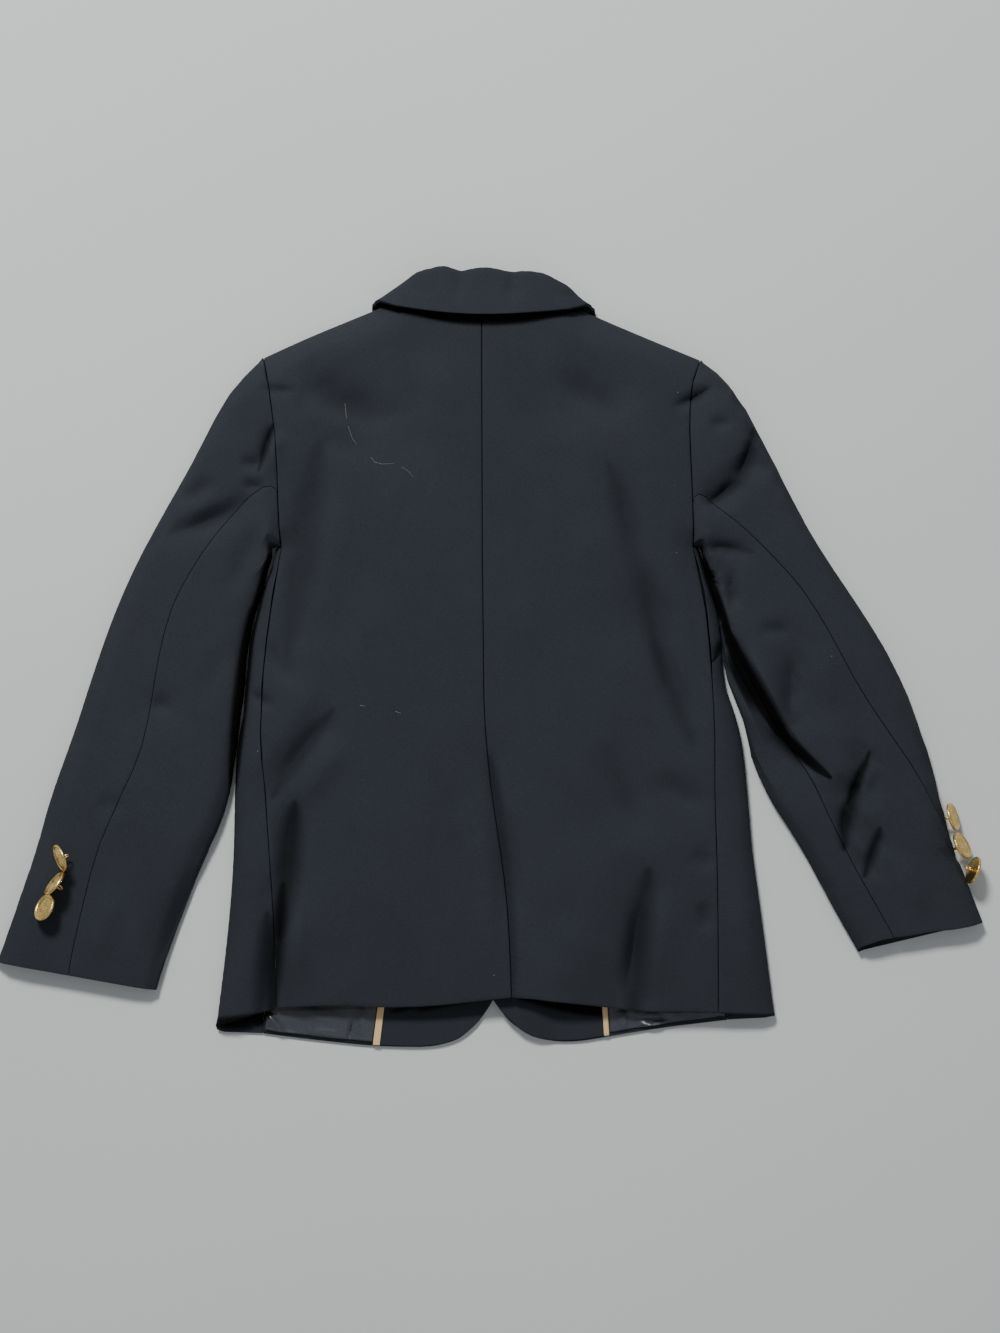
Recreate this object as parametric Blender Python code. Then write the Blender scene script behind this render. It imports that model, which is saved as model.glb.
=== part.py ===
# Child's single-breasted blazer, laid face down on its fronts with its back up.
# Sizes are in millimetres: x across the garment from the centre of the waist, positive to the viewer's
# right, y up towards the collar, z up from the surface it lies on. Each mesh is written in metres.

import math
from collections import namedtuple

import bmesh
import bpy
from mathutils import Vector

for item in list(bpy.data.objects):
    bpy.data.objects.remove(item, do_unlink=True)

# Driving sizes

MM = 0.001
CLOTH = 2.0            # a shell with its interlining
SEAM_GAP = 0.3
HALF_GAP = SEAM_GAP / 2
FOLD_HEIGHT = 5.0      # height of the widest line of a folded edge
UNDER_ROUND = 5.0      # how far a folded edge rounds in below
SIDE_ROUND = 14.0      # how far the back rounds down to a side fold
SHOULDER_ROUND = 24.0  # how far the back rounds down to the shoulder line
SHOULDER_UNDER = 8.0    # how far the front rounds up to the shoulder line
UNDERARM_Y = 67.6
CENTRE_X = -0.5        # the centre front
LAP = 12.0             # each front passes the centre by this
BREAK_Y = -14.0        # where the lapel's roll ends
GORGE_Y = 155.0        # where collar and lapel part
BREAK_RIGHT_Y = 42.0   # the lower front's lapel ends where the other front covers it
LAYER = CLOTH + SEAM_GAP
LOOSE = 0.5             # how much more than a seam's gap lies between two loose layers
FACING = 1.0
LINING = 1.0
PIPING_HEIGHT = 1.6
HEM_LINING_TOP_Y = -150.0
FRONT_BUTTON_RISE = 5.1
FRONT_BUTTONS_Y = (-26.0, -96.0)
BUMP_REACH = 46.0      # a front button lifts the cloth this far round it
BUMP_SLOPE = 35.0
LAPEL_REACH = 18.0     # a lapel lifts the cloth this far past its edge
LAPEL_SLOPE = 10.0
BREAK_REACH = 34.0     # and this far below the place where its roll ends
BREAK_SLOPE = 32.0
LAP_REACH = 17.0       # the upper front stays lifted this far past the lower one's edge
LAP_SLOPE = 14.0
LAP_TOP_Y = 62.0       # above this the fronts no longer lap
LAP_TOP_SLOPE = 30.0
FACING_TOP_Y = -120.0  # below this the left front's facing lies between the fronts
FACING_SLOPE = 20.0
BREAK_LOOSE = 1.2      # more room between the fronts round the break of the lapel
BREAK_LOOSE_Y = -62.0
SIDE_FULLNESS = 0.22   # how much lower the back lies at its sides than at its middle
WIDEST_SIDE = 1.3

BodyRow = namedtuple(
    "BodyRow", "y left_fold right_fold left_seam right_seam left_front right_front centre_seam crown"
)
BODY = [
    BodyRow(-231.0, -170.5, 178.0, -132.0, 141.4, -141.0, 148.0, 14.0, 14.0),
    BodyRow(-188.0, -165.0, 172.4, -133.3, 141.1, -139.0, 146.0, 12.6, 15.5),
    BodyRow(-150.7, -161.2, 167.4, -134.5, 140.7, -137.6, 143.6, 10.4, 16.5),
    BodyRow(-119.7, -159.3, 163.1, -136.4, 140.1, -136.4, 141.0, 6.5, 17.0),
    BodyRow(-79.4, -158.4, 159.6, -139.2, 138.9, -134.6, 137.4, 0.6, 17.0),
    BodyRow(-51.5, -156.0, 156.3, -141.4, 138.9, -133.2, 134.2, -2.2, 17.5),
    BodyRow(-32.9, -152.4, 151.4, -141.0, 138.3, -132.2, 132.0, -3.4, 18.0),
    BodyRow(-14.3, -151.0, 145.0, -140.2, 137.2, -131.0, 129.8, -3.8, 18.5),
    BodyRow(10.5, -148.4, 142.8, -137.6, 135.2, -129.2, 126.8, -4.0, 19.0),
    BodyRow(35.3, -141.6, 139.4, -134.2, 132.2, -126.6, 123.8, -4.3, 20.0),
    BodyRow(50.0, -137.0, 134.8, -131.8, 129.2, -124.6, 121.8, -4.4, 20.6),
    BodyRow(60.0, -133.8, 131.2, -130.2, 127.0, -123.2, 120.2, -4.5, 21.2),
    BodyRow(UNDERARM_Y, -132.4, 129.0, -129.0, 125.6, -122.2, 119.0, -4.6, 21.5),
    BodyRow(110.0, -132.4, 129.0, -131.0, 124.4, -122.2, 119.0, -4.7, 23.0),
    BodyRow(160.0, -132.4, 129.0, -135.3, 123.6, -122.2, 119.0, -4.9, 25.0),
    BodyRow(225.0, -132.4, 129.0, -141.0, 130.6, -122.2, 119.0, -5.0, 27.0),
]

Spot = namedtuple("Spot", "x y")
SHOULDER_LINE = [
    Spot(-140.4, 185.4),
    Spot(-112.0, 198.2),
    Spot(-69.4, 215.6),
    Spot(-64.5, 217.6),
    Spot(-52.0, 222.0),
    Spot(-30.0, 220.0),
    Spot(-5.0, 219.0),
    Spot(20.0, 219.5),
    Spot(43.0, 220.5),
    Spot(54.5, 216.4),
    Spot(61.5, 212.8),
    Spot(96.0, 198.0),
    Spot(130.4, 184.0),
]
NECK_POINT_LEFT = Spot(-66.0, 217.0)
NECK_POINT_RIGHT = Spot(58.0, 214.8)
SHOULDER_SLOPE = 0.44
ARMHOLE_BACK_LEFT = [
    Spot(-129.0, UNDERARM_Y),
    Spot(-129.8, 79.0),
    Spot(-130.6, 97.3),
    Spot(-131.6, 128.3),
    Spot(-133.3, 144.0),
    Spot(-135.6, 162.4),
    Spot(-138.0, 176.5),
    Spot(-140.4, 185.4),
]
ARMHOLE_BACK_RIGHT = [
    Spot(125.6, UNDERARM_Y),
    Spot(125.4, 79.0),
    Spot(124.6, 103.5),
    Spot(123.4, 128.3),
    Spot(123.0, 147.0),
    Spot(124.8, 168.6),
    Spot(130.4, 184.0),
]
ARMHOLE_FRONT_LEFT = [
    Spot(-140.4, 185.4),
    Spot(-130.0, 162.0),
    Spot(-123.0, 130.0),
    Spot(-121.5, 100.0),
    Spot(-121.8, 80.0),
    Spot(-122.2, UNDERARM_Y),
]
ARMHOLE_FRONT_RIGHT = [
    Spot(130.4, 184.0),
    Spot(121.0, 162.0),
    Spot(116.0, 130.0),
    Spot(117.0, 100.0),
    Spot(118.2, 80.0),
    Spot(119.0, UNDERARM_Y),
]
BACK_HEM = [
    Spot(-170.5, -229.0),
    Spot(-155.0, -226.3),
    Spot(-141.4, -221.5),
    Spot(-130.2, -217.2),
    Spot(-93.0, -215.3),
    Spot(-68.0, -216.4),
    Spot(-37.0, -215.5),
    Spot(0.0, -211.6),
    Spot(14.0, -210.2),
    Spot(31.0, -211.4),
    Spot(68.0, -215.8),
    Spot(93.0, -218.9),
    Spot(130.0, -219.5),
    Spot(158.0, -221.3),
    Spot(178.0, -222.2),
]
FRONT_HEM_LEFT = [
    Spot(-170.5, -230.0),
    Spot(-158.0, -232.5),
    Spot(-141.4, -233.8),
    Spot(-117.8, -236.8),
    Spot(-90.0, -239.9),
    Spot(-68.2, -241.8),
    Spot(-37.2, -242.4),
]
CUTAWAY_LEFT = [
    Spot(-37.2, -242.4),
    Spot(-27.9, -240.8),
    Spot(-18.6, -237.6),
    Spot(-10.0, -231.0),
    Spot(-3.5, -221.5),
    Spot(2.0, -213.3),
    Spot(8.6, -201.0),
    Spot(11.5, -186.0),
]
FRONT_HEM_RIGHT = [
    Spot(178.0, -222.4),
    Spot(155.0, -224.6),
    Spot(130.2, -227.5),
    Spot(105.4, -230.6),
    Spot(71.3, -236.2),
    Spot(55.8, -238.7),
    Spot(43.4, -239.3),
]
CUTAWAY_RIGHT = [
    Spot(43.4, -239.3),
    Spot(34.1, -238.4),
    Spot(24.8, -235.9),
    Spot(15.0, -229.3),
    Spot(7.6, -220.8),
    Spot(2.4, -213.3),
    Spot(-6.5, -201.0),
    Spot(-12.5, -186.0),
]

# Largest folds: a valley or ridge along a line, with its half width and its height, negative for a valley
Fold = namedtuple("Fold", "x0 y0 x1 y1 width height")
BODY_FOLDS = [
    Fold(-123.0, -95.0, -127.0, -150.0, 8.0, -3.0),
    Fold(-126.0, -150.0, -136.0, -216.0, 8.5, -5.5),
    Fold(-99.0, -36.0, -133.0, -82.0, 7.0, -3.5),
    Fold(-112.0, -22.0, -138.0, -60.0, 10.0, 2.0),
    Fold(6.0, -60.0, 10.0, -150.0, 8.5, -1.8),
    Fold(96.0, -138.0, 84.0, -212.0, 9.0, -4.5),
    Fold(52.0, -180.0, 40.0, -212.0, 16.0, 4.0),
    Fold(-105.0, 122.0, -122.0, 60.0, 10.0, -2.5),
    Fold(-122.0, 60.0, -125.0, 10.0, 10.0, -2.0),
    Fold(76.0, 112.0, 102.0, 28.0, 12.0, -2.5),
    Fold(102.0, 28.0, 124.0, -40.0, 10.0, -1.8),
    Fold(-112.0, 172.0, -62.0, 150.0, 16.0, -2.5),
    Fold(34.0, 152.0, 82.0, 172.0, 16.0, -2.5),
    Fold(78.0, -58.0, 68.0, -108.0, 16.0, -2.0),
    Fold(100.0, -84.0, 134.0, -96.0, 12.0, -1.5),
    Fold(-118.0, 186.0, -90.0, 200.0, 12.0, 2.5),
    Fold(88.0, 196.0, 118.0, 184.0, 12.0, 2.5),
]
SLEEVE_FOLDS = [
    Fold(-132.8, 142.0, -143.0, 116.0, 4.0, -2.5),
    Fold(-146.0, 98.0, -168.0, 84.0, 8.0, -2.5),
    Fold(-168.0, 84.0, -200.0, 74.0, 8.0, -2.0),
    Fold(-170.0, 110.0, -192.0, 94.0, 7.0, -1.5),
    Fold(-196.0, -28.0, -212.0, -32.0, 8.0, -1.5),
    Fold(-180.0, -130.0, -200.0, -178.0, 9.0, -3.0),
    Fold(163.0, 138.0, 158.0, 116.0, 5.0, -3.0),
    Fold(158.0, 116.0, 142.0, 98.0, 6.5, -5.0),
    Fold(142.0, 98.0, 130.0, 97.0, 6.0, -3.0),
    Fold(124.0, 152.0, 140.0, 163.0, 5.0, -2.5),
    Fold(134.0, 67.0, 156.0, 65.0, 6.0, -2.0),
    Fold(148.0, 54.0, 152.0, 30.0, 6.0, -2.0),
    Fold(186.0, 4.0, 192.0, -40.0, 9.0, -2.5),
    Fold(231.0, -64.0, 221.0, -90.0, 5.5, -4.0),
    Fold(221.0, -90.0, 219.0, -114.0, 5.0, -3.0),
    Fold(240.0, -110.0, 232.0, -132.0, 6.0, -2.5),
]

# A row for each ring round a sleeve: its inner and outer fold, height, and where the two seams cross it.
# A seam's place is counted round the ring: 0 inner fold, 1 outer fold, 2 inner fold again from below.
Ring = namedtuple("Ring", "inner_x inner_y outer_x outer_y height round hind fore valley")
RINGS_LEFT = [
    Ring(-133.0, 67.9, -140.4, 185.4, 22.0, 10.0, 0.305, 1.86, 0.0),
    Ring(-136.6, 66.6, -149.0, 178.4, 21.5, 10.0, 0.34, 1.86, 0.0),
    Ring(-138.4, 52.0, -164.5, 159.6, 20.0, 10.0, 0.42, 1.86, 0.0),
    Ring(-142.6, 35.3, -184.8, 120.9, 18.0, 11.0, 0.53, 1.86, 0.0),
    Ring(-148.6, 15.5, -204.6, 86.2, 17.0, 12.0, 0.59, 1.87, 0.0),
    Ring(-151.8, -8.1, -220.1, 57.0, 16.5, 12.0, 0.63, 1.87, 0.0),
    Ring(-153.2, -26.7, -234.4, 24.2, 16.0, 12.0, 0.615, 1.87, 0.0),
    Ring(-157.4, -54.6, -246.8, -11.2, 15.5, 12.0, 0.58, 1.88, 0.0),
    Ring(-159.6, -79.4, -257.9, -45.3, 15.0, 13.0, 0.575, 1.88, 0.0),
    Ring(-167.8, -107.3, -272.8, -86.8, 15.0, 14.0, 0.61, 1.88, 0.0),
    Ring(-179.8, -132.1, -283.3, -123.4, 14.5, 15.0, 0.625, 1.88, 0.0),
    Ring(-199.6, -184.8, -300.7, -174.2, 13.0, 15.0, 0.57, 1.88, 0.0),
    Ring(-206.5, -206.5, -306.9, -188.5, 12.0, 15.0, 0.537, 1.88, 0.0),
]
RINGS_RIGHT = [
    Ring(129.6, 67.9, 130.4, 184.0, 22.0, 10.0, 0.263, 1.98, 0.0),
    Ring(131.8, 66.2, 138.8, 178.4, 21.5, 10.0, 0.30, 1.98, 0.0),
    Ring(135.8, 52.0, 152.6, 163.3, 20.0, 10.0, 0.35, 1.985, 0.5),
    Ring(140.6, 35.3, 172.4, 128.3, 18.0, 10.0, 0.48, 2.03, 2.0),
    Ring(144.2, 10.5, 189.1, 95.5, 17.0, 9.0, 0.63, 2.07, 4.0),
    Ring(146.4, -13.0, 207.7, 63.2, 17.0, 9.0, 0.735, 2.14, 8.0),
    Ring(156.4, -39.1, 227.5, 33.5, 17.0, 9.0, 0.745, 2.165, 9.5),
    Ring(162.6, -63.9, 246.8, 2.5, 16.5, 9.0, 0.745, 2.22, 9.0),
    Ring(173.2, -88.7, 261.6, -29.8, 16.0, 10.0, 0.79, 2.27, 4.0),
    Ring(186.0, -108.5, 274.0, -67.0, 15.5, 11.0, 0.88, 2.26, 0.0),
    Ring(201.5, -134.5, 285.2, -110.4, 15.0, 12.0, 0.985, 2.27, 0.0),
    Ring(213.9, -158.1, 295.7, -138.3, 14.0, 12.0, 1.02, 2.29, 0.0),
    Ring(228.2, -182.9, 306.3, -164.3, 13.0, 12.0, 1.04, 2.28, 0.0),
]

# A row for each place round the collar: fold line, neck seam, free edge of the fall, all at mid cloth,
# and the way the fall faces, as degrees turned from straight up towards the outside and on to straight down.
CollarRow = namedtuple("CollarRow", "fold_x fold_y fold_z neck_x neck_y neck_z fall_x fall_y fall_z facing")
COLLAR = [
    CollarRow(-37.0, 170.0, 2.4, -43.0, 167.0, 3.4, -63.0, 159.0, 1.0, -180.0),
    CollarRow(-42.0, 188.0, 2.4, -51.0, 184.4, 3.4, -69.0, 177.0, 1.0, -180.0),
    CollarRow(-47.0, 204.0, 2.4, -58.5, 201.0, 3.6, -71.5, 194.0, 1.0, -180.0),
    CollarRow(-49.5, 217.5, 3.0, -60.8, 212.4, 5.0, -73.4, 216.0, 0.9, -172.0),
    CollarRow(-51.0, 228.0, 12.0, -62.2, 219.2, 9.2, -71.6, 218.0, 9.0, -95.0),
    CollarRow(-49.0, 231.4, 19.0, -58.6, 222.0, 14.2, -67.8, 219.0, 18.4, -55.0),
    CollarRow(-43.0, 233.8, 25.0, -51.0, 224.2, 19.0, -58.0, 214.8, 27.0, -25.0),
    CollarRow(-30.0, 236.5, 29.5, -30.0, 221.0, 23.4, -33.0, 210.8, 32.0, -8.0),
    CollarRow(-17.5, 234.5, 31.0, -17.5, 220.3, 25.0, -18.0, 209.4, 33.4, -3.0),
    CollarRow(-4.0, 236.0, 31.5, -4.0, 219.9, 26.0, -4.0, 208.9, 33.6, 0.0),
    CollarRow(9.0, 233.8, 31.0, 9.0, 220.3, 25.2, 10.0, 209.2, 33.4, 3.0),
    CollarRow(22.0, 234.0, 29.5, 22.0, 220.9, 23.6, 25.0, 210.2, 32.0, 8.0),
    CollarRow(34.0, 230.8, 25.0, 42.0, 222.6, 19.0, 49.0, 212.8, 27.0, 25.0),
    CollarRow(41.0, 228.0, 19.0, 50.2, 220.0, 14.2, 59.4, 216.6, 18.4, 55.0),
    CollarRow(43.5, 224.5, 12.0, 53.8, 217.2, 9.2, 63.2, 215.4, 9.0, 95.0),
    CollarRow(42.0, 214.5, 3.0, 52.8, 209.8, 5.0, 65.6, 213.2, 0.9, 172.0),
    CollarRow(39.0, 201.0, 2.4, 50.4, 198.0, 3.6, 63.8, 191.0, 1.0, 180.0),
    CollarRow(34.0, 186.0, 2.4, 43.0, 182.4, 3.4, 61.0, 175.0, 1.0, 180.0),
    CollarRow(29.0, 168.0, 2.4, 35.0, 165.0, 3.4, 55.0, 157.0, 1.0, 180.0),
]
SHOULDER_OUTWARD_LEFT = Vector((-0.41, 0.91, 0.0))
SHOULDER_OUTWARD_RIGHT = Vector((0.41, 0.91, 0.0))

# A row for each cuff button: centre of the rim, the way its face looks in plan, and its tip from face up
ButtonRow = namedtuple("ButtonRow", "name x y z look_x look_y tip")
BUTTONS = [
    ButtonRow("button_left_1", -263.5, -123.4, 23.0, -0.94, -0.34, 62.0),
    ButtonRow("button_left_2", -266.9, -138.9, 23.0, -0.75, 0.66, 70.0),
    ButtonRow("button_left_3", -273.4, -153.8, 21.2, -0.80, 0.55, 50.0),
    ButtonRow("button_right_1", 286.0, -98.6, 12.0, 0.95, 0.30, 65.0),
    ButtonRow("button_right_2", 291.6, -116.4, 12.2, 0.85, 0.52, 60.0),
    ButtonRow("button_right_3", 298.8, -131.6, 10.8, 0.93, -0.36, 84.0),
]
ProfileSpot = namedtuple("ProfileSpot", "radius height")
BUTTON_FACE = [
    ProfileSpot(0.0, 1.8),
    ProfileSpot(4.4, 1.5),
    ProfileSpot(7.4, 0.5),
    ProfileSpot(8.75, 0.2),
    ProfileSpot(8.75, -0.9),
]
SHANK_RADIUS = 2.2
BUTTON_BACK = -1.5
CUFF_SHANK = 4.2
FRONT_SHANKS = (2.3, 1.3)
BUTTON_SIDES = 16

# Curves and interpolation


def smooth_between(before, start, end, after, part):
    """Cubic through start and end, with slopes from the points on each side; stations may be uneven."""
    step = end[0] - start[0]
    slope_in = (end[1] - before[1]) / (end[0] - before[0]) if end[0] != before[0] else 0.0
    slope_out = (after[1] - start[1]) / (after[0] - start[0]) if after[0] != start[0] else 0.0
    square = part * part
    cube = square * part
    return (
        (2 * cube - 3 * square + 1) * start[1]
        + (cube - 2 * square + part) * step * slope_in
        + (3 * square - 2 * cube) * end[1]
        + (cube - square) * step * slope_out
    )


def value_at(stations, values, place):
    """Smooth value at a place along rising stations."""
    last = len(stations) - 1
    if place <= stations[0]:
        return values[0]
    if place >= stations[last]:
        return values[last]
    k = next(i for i in range(last) if place <= stations[i + 1])
    pair = [(stations[i], values[i]) for i in (max(k - 1, 0), k, k + 1, min(k + 2, last))]
    return smooth_between(*pair, (place - stations[k]) / (stations[k + 1] - stations[k]))


def column_of(rows, key, name):
    ordered = sorted(rows, key=lambda row: getattr(row, key))
    stations = [getattr(row, key) for row in ordered]
    values = [getattr(row, name) for row in ordered]
    return lambda place: value_at(stations, values, place)


class Path:
    """A smooth line through points, read by the share of its length."""

    SAMPLES = 12

    def __init__(self, points, sharp=()):
        spots = [Vector((*point, 0.0)) if len(point) == 2 else Vector(point) for point in points]
        runs = []
        start = 0
        for corner in list(sharp) + [len(spots) - 1]:
            runs.append(spots[start:corner + 1])
            start = corner
        self.dense = [spots[0]]
        for run in runs:
            self.dense += self.sampled(run)
        self.lengths = [0.0]
        for a, b in zip(self.dense, self.dense[1:]):
            self.lengths.append(self.lengths[-1] + (b - a).length)
        self.length = self.lengths[-1]

    def sampled(self, run):
        stations = [0.0]
        for a, b in zip(run, run[1:]):
            stations.append(stations[-1] + (b - a).length)
        out = []
        for k in range(len(run) - 1):
            for n in range(1, self.SAMPLES + 1):
                place = stations[k] + (stations[k + 1] - stations[k]) * n / self.SAMPLES
                out.append(Vector([value_at(stations, [spot[axis] for spot in run], place) for axis in range(3)]))
        return out

    def at_length(self, place):
        place = min(max(place, 0.0), self.length)
        for k in range(len(self.lengths) - 1):
            if place <= self.lengths[k + 1]:
                span = self.lengths[k + 1] - self.lengths[k]
                part = (place - self.lengths[k]) / span if span else 0.0
                return self.dense[k].lerp(self.dense[k + 1], part)
        return self.dense[-1].copy()

    def at(self, part):
        return self.at_length(part * self.length)


def ease(value):
    value = min(max(value, 0.0), 1.0)
    return value * value * (3.0 - 2.0 * value)


def rounded(distance, reach):
    """Share of full height at this distance in from a folded edge: a quarter of an ellipse, then flat."""
    left = 1.0 - min(max(distance / reach, 0.0), 1.0)
    return math.sqrt(1.0 - left * left)


# Shape of the body

left_fold = column_of(BODY, "y", "left_fold")
right_fold = column_of(BODY, "y", "right_fold")
left_front = column_of(BODY, "y", "left_front")
right_front = column_of(BODY, "y", "right_front")
left_seam = column_of(BODY, "y", "left_seam")
right_seam = column_of(BODY, "y", "right_seam")
centre_seam = column_of(BODY, "y", "centre_seam")
crown = column_of(BODY, "y", "crown")
shoulder_y = column_of(SHOULDER_LINE, "x", "y")
back_hem_y = column_of(BACK_HEM, "x", "y")


def shoulder_fall_y(x):
    """The line that the back rounds down to: the shoulders, carried past their ends and over the neck."""
    left, right = SHOULDER_LINE[0], SHOULDER_LINE[-1]
    if x < left.x:
        return left.y - SHOULDER_SLOPE * (left.x - x)
    if x > right.x:
        return right.y - SHOULDER_SLOPE * (x - right.x)
    if NECK_POINT_LEFT.x < x < NECK_POINT_RIGHT.x:
        inside_left = x - NECK_POINT_LEFT.x
        inside_right = NECK_POINT_RIGHT.x - x
        over_left = NECK_POINT_LEFT.y + SHOULDER_SLOPE * inside_left + 0.02 * inside_left ** 2
        over_right = NECK_POINT_RIGHT.y + SHOULDER_SLOPE * inside_right + 0.02 * inside_right ** 2
        return min(over_left, over_right)
    return shoulder_y(x)


def under_z(x, y, inset=0.0):
    """Height of the front's outer face where it rounds up to the shoulder line."""
    reach = SHOULDER_UNDER * (1.0 + ease((90.0 - abs(x + 4.0)) / 20.0))
    up = rounded(shoulder_fall_y(x) - y - inset, reach - inset * 0.6)
    return FOLD_HEIGHT + (inset - FOLD_HEIGHT) * up


def folds_at(folds, x, y):
    total = 0.0
    for fold in folds:
        along_x = fold.x1 - fold.x0
        along_y = fold.y1 - fold.y0
        part = ((x - fold.x0) * along_x + (y - fold.y0) * along_y) / (along_x ** 2 + along_y ** 2)
        part = min(max(part, 0.0), 1.0)
        off = math.hypot(x - fold.x0 - part * along_x, y - fold.y0 - part * along_y)
        total += fold.height * math.exp(-((off / fold.width) ** 2))
    return total


def crest(x, y):
    """Height of the back before it rounds down to its folded edges."""
    middle = (left_fold(y) + right_fold(y)) / 2
    half = (right_fold(y) - left_fold(y)) / 2
    fullness = 1.0 - SIDE_FULLNESS * min(abs(x - middle) / half, WIDEST_SIDE) ** 2
    return crown(y) * fullness + folds_at(BODY_FOLDS, x, y)


def fold_distance(x, y):
    """How far a place is inside the nearer side fold; above the underarm the folds are the sleeves'."""
    above = max(y - UNDERARM_Y, 0.0) * 3.0
    return min(x - left_fold(y), right_fold(y) - x) + above


def back_z(x, y, inset=0.0):
    side = rounded(fold_distance(x, y) - inset, SIDE_ROUND - inset)
    top = rounded(shoulder_fall_y(x) - y - inset, SHOULDER_ROUND - inset)
    return FOLD_HEIGHT + (crest(x, y) - inset - FOLD_HEIGHT) * side * top


def lapel_lift(x, y, right):
    """How far a front is raised by its own lapel or collar below it."""
    edge = roll_x(y, right)
    inward = (x - edge) if right else (edge - x)
    stop = BREAK_RIGHT_Y if right else BREAK_Y
    reach = lapel_width(min(max((GORGE_Y - y) / (GORGE_Y - stop), 0.0), 1.0))
    across = ease((reach + LAPEL_REACH - inward) / LAPEL_SLOPE)
    along = ease((y - stop + BREAK_REACH) / BREAK_SLOPE)
    return (LAYER + LOOSE) * across * along


def front_lift(x, y, right):
    """Height of a front's outer face, over its own lapel and over the front that it laps."""
    lift = lapel_lift(x, y, right)
    if right:
        over = ease((roll_x(y, False) + LAP_REACH - x) / LAP_SLOPE) * ease((LAP_TOP_Y - y) / LAP_TOP_SLOPE)
        below = lapel_lift(x, y, False) + LAYER + 2 * LOOSE
        below += (FACING + SEAM_GAP) * ease((FACING_TOP_Y - y) / FACING_SLOPE)
        below += BREAK_LOOSE * ease((y - BREAK_LOOSE_Y) / FACING_SLOPE)
        lift = max(lift, below * over)
    return lift + button_bump(x, y)


def button_bump(x, y):
    """The cloth rises over the two front buttons that lie below it."""
    total = 0.0
    for button_y in FRONT_BUTTONS_Y:
        off = math.hypot(x - CENTRE_X, y - button_y)
        total += FRONT_BUTTON_RISE * ease((BUMP_REACH - off) / BUMP_SLOPE)
    return total


ROLL_LEFT = [Spot(-35.0, 157.0), Spot(-26.0, 120.0), Spot(-11.0, 60.0), Spot(2.0, 15.0), Spot(9.5, BREAK_Y)]
ROLL_RIGHT = [Spot(27.0, 157.0), Spot(19.0, 120.0), Spot(6.5, 60.0), Spot(-4.5, 15.0), Spot(-12.0, BREAK_Y)]
NECK_LEFT = [Spot(-65.2, 217.2), Spot(-61.6, 203.5), Spot(-53.6, 184.0), Spot(-45.0, 166.6)]
NECK_RIGHT = [Spot(57.2, 215.0), Spot(53.4, 200.5), Spot(45.6, 182.0), Spot(37.0, 164.6)]
roll_left_x = column_of(ROLL_LEFT, "y", "x")
roll_right_x = column_of(ROLL_RIGHT, "y", "x")


def roll_x(y, right):
    if y < BREAK_Y:
        return CENTRE_X - LAP if right else CENTRE_X + LAP
    return roll_right_x(y) if right else roll_left_x(y)


# Cloth walls


def material(name, color, roughness, metallic=0.0):
    made = bpy.data.materials.new(name)
    made.use_nodes = True
    shader = made.node_tree.nodes["Principled BSDF"]
    shader.inputs["Base Color"].default_value = (*color, 1.0)
    shader.inputs["Roughness"].default_value = roughness
    shader.inputs["Metallic"].default_value = metallic
    return made


WORSTED = material("navy_worsted", (0.024, 0.029, 0.034), 0.9)
SATIN = material("grey_satin_lining", (0.10, 0.10, 0.12), 0.35)
PIPING = material("gold_piping", (0.62, 0.38, 0.12), 0.45)
GOLD = material("gold_plated_brass", (0.75, 0.52, 0.17), 0.3, 1.0)


def finish(name, mesh_data, finish_material):
    mesh = bpy.data.meshes.new(name)
    bmesh.ops.recalc_face_normals(mesh_data, faces=mesh_data.faces)
    if mesh_data.calc_volume(signed=True) < 0.0:
        bmesh.ops.reverse_faces(mesh_data, faces=mesh_data.faces)
    for vert in mesh_data.verts:
        vert.co = (vert.co - ORIGIN) * MM
    mesh_data.to_mesh(mesh)
    mesh_data.free()
    mesh.shade_smooth()
    mesh.set_sharp_from_angle(angle=math.radians(50))
    mesh.materials.append(finish_material)
    made = bpy.data.objects.new(name, mesh)
    bpy.context.scene.collection.objects.link(made)
    return made


def cloth_wall(name, rows, columns, outer, inner, finish_material, keep=None):
    """A closed wall of cloth: a grid on its outer points, and the same grid on its inner points."""
    wall = bmesh.new()
    bmesh.ops.create_grid(wall, x_segments=columns, y_segments=rows, size=1.0)
    place = wall.verts.layers.int.new("place")
    for vert in wall.verts:
        column = round((vert.co.x + 1.0) / 2.0 * columns)
        row = round((vert.co.y + 1.0) / 2.0 * rows)
        vert[place] = row * (columns + 1) + column
    if keep:
        dropped = []
        for face in wall.faces:
            spots = [divmod(vert[place], columns + 1) for vert in face.verts]
            row = min(spot[0] for spot in spots)
            column = min(spot[1] for spot in spots)
            if not keep(row, column):
                dropped.append(face)
        bmesh.ops.delete(wall, geom=dropped, context="FACES")
    first = set(wall.verts)
    bmesh.ops.extrude_face_region(wall, geom=list(wall.faces), use_keep_orig=True)
    wall.verts.ensure_lookup_table()
    for vert in wall.verts:
        row, column = divmod(vert[place], columns + 1)
        side = outer if vert in first else inner
        vert.co = side(row, column)
    return finish(name, wall, finish_material)


ORIGIN = Vector((
    (RINGS_LEFT[-1].outer_x + RINGS_RIGHT[-1].outer_x) / 2,
    (238.6 - 242.4) / 2,
    0.0,
))


# Back


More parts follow.
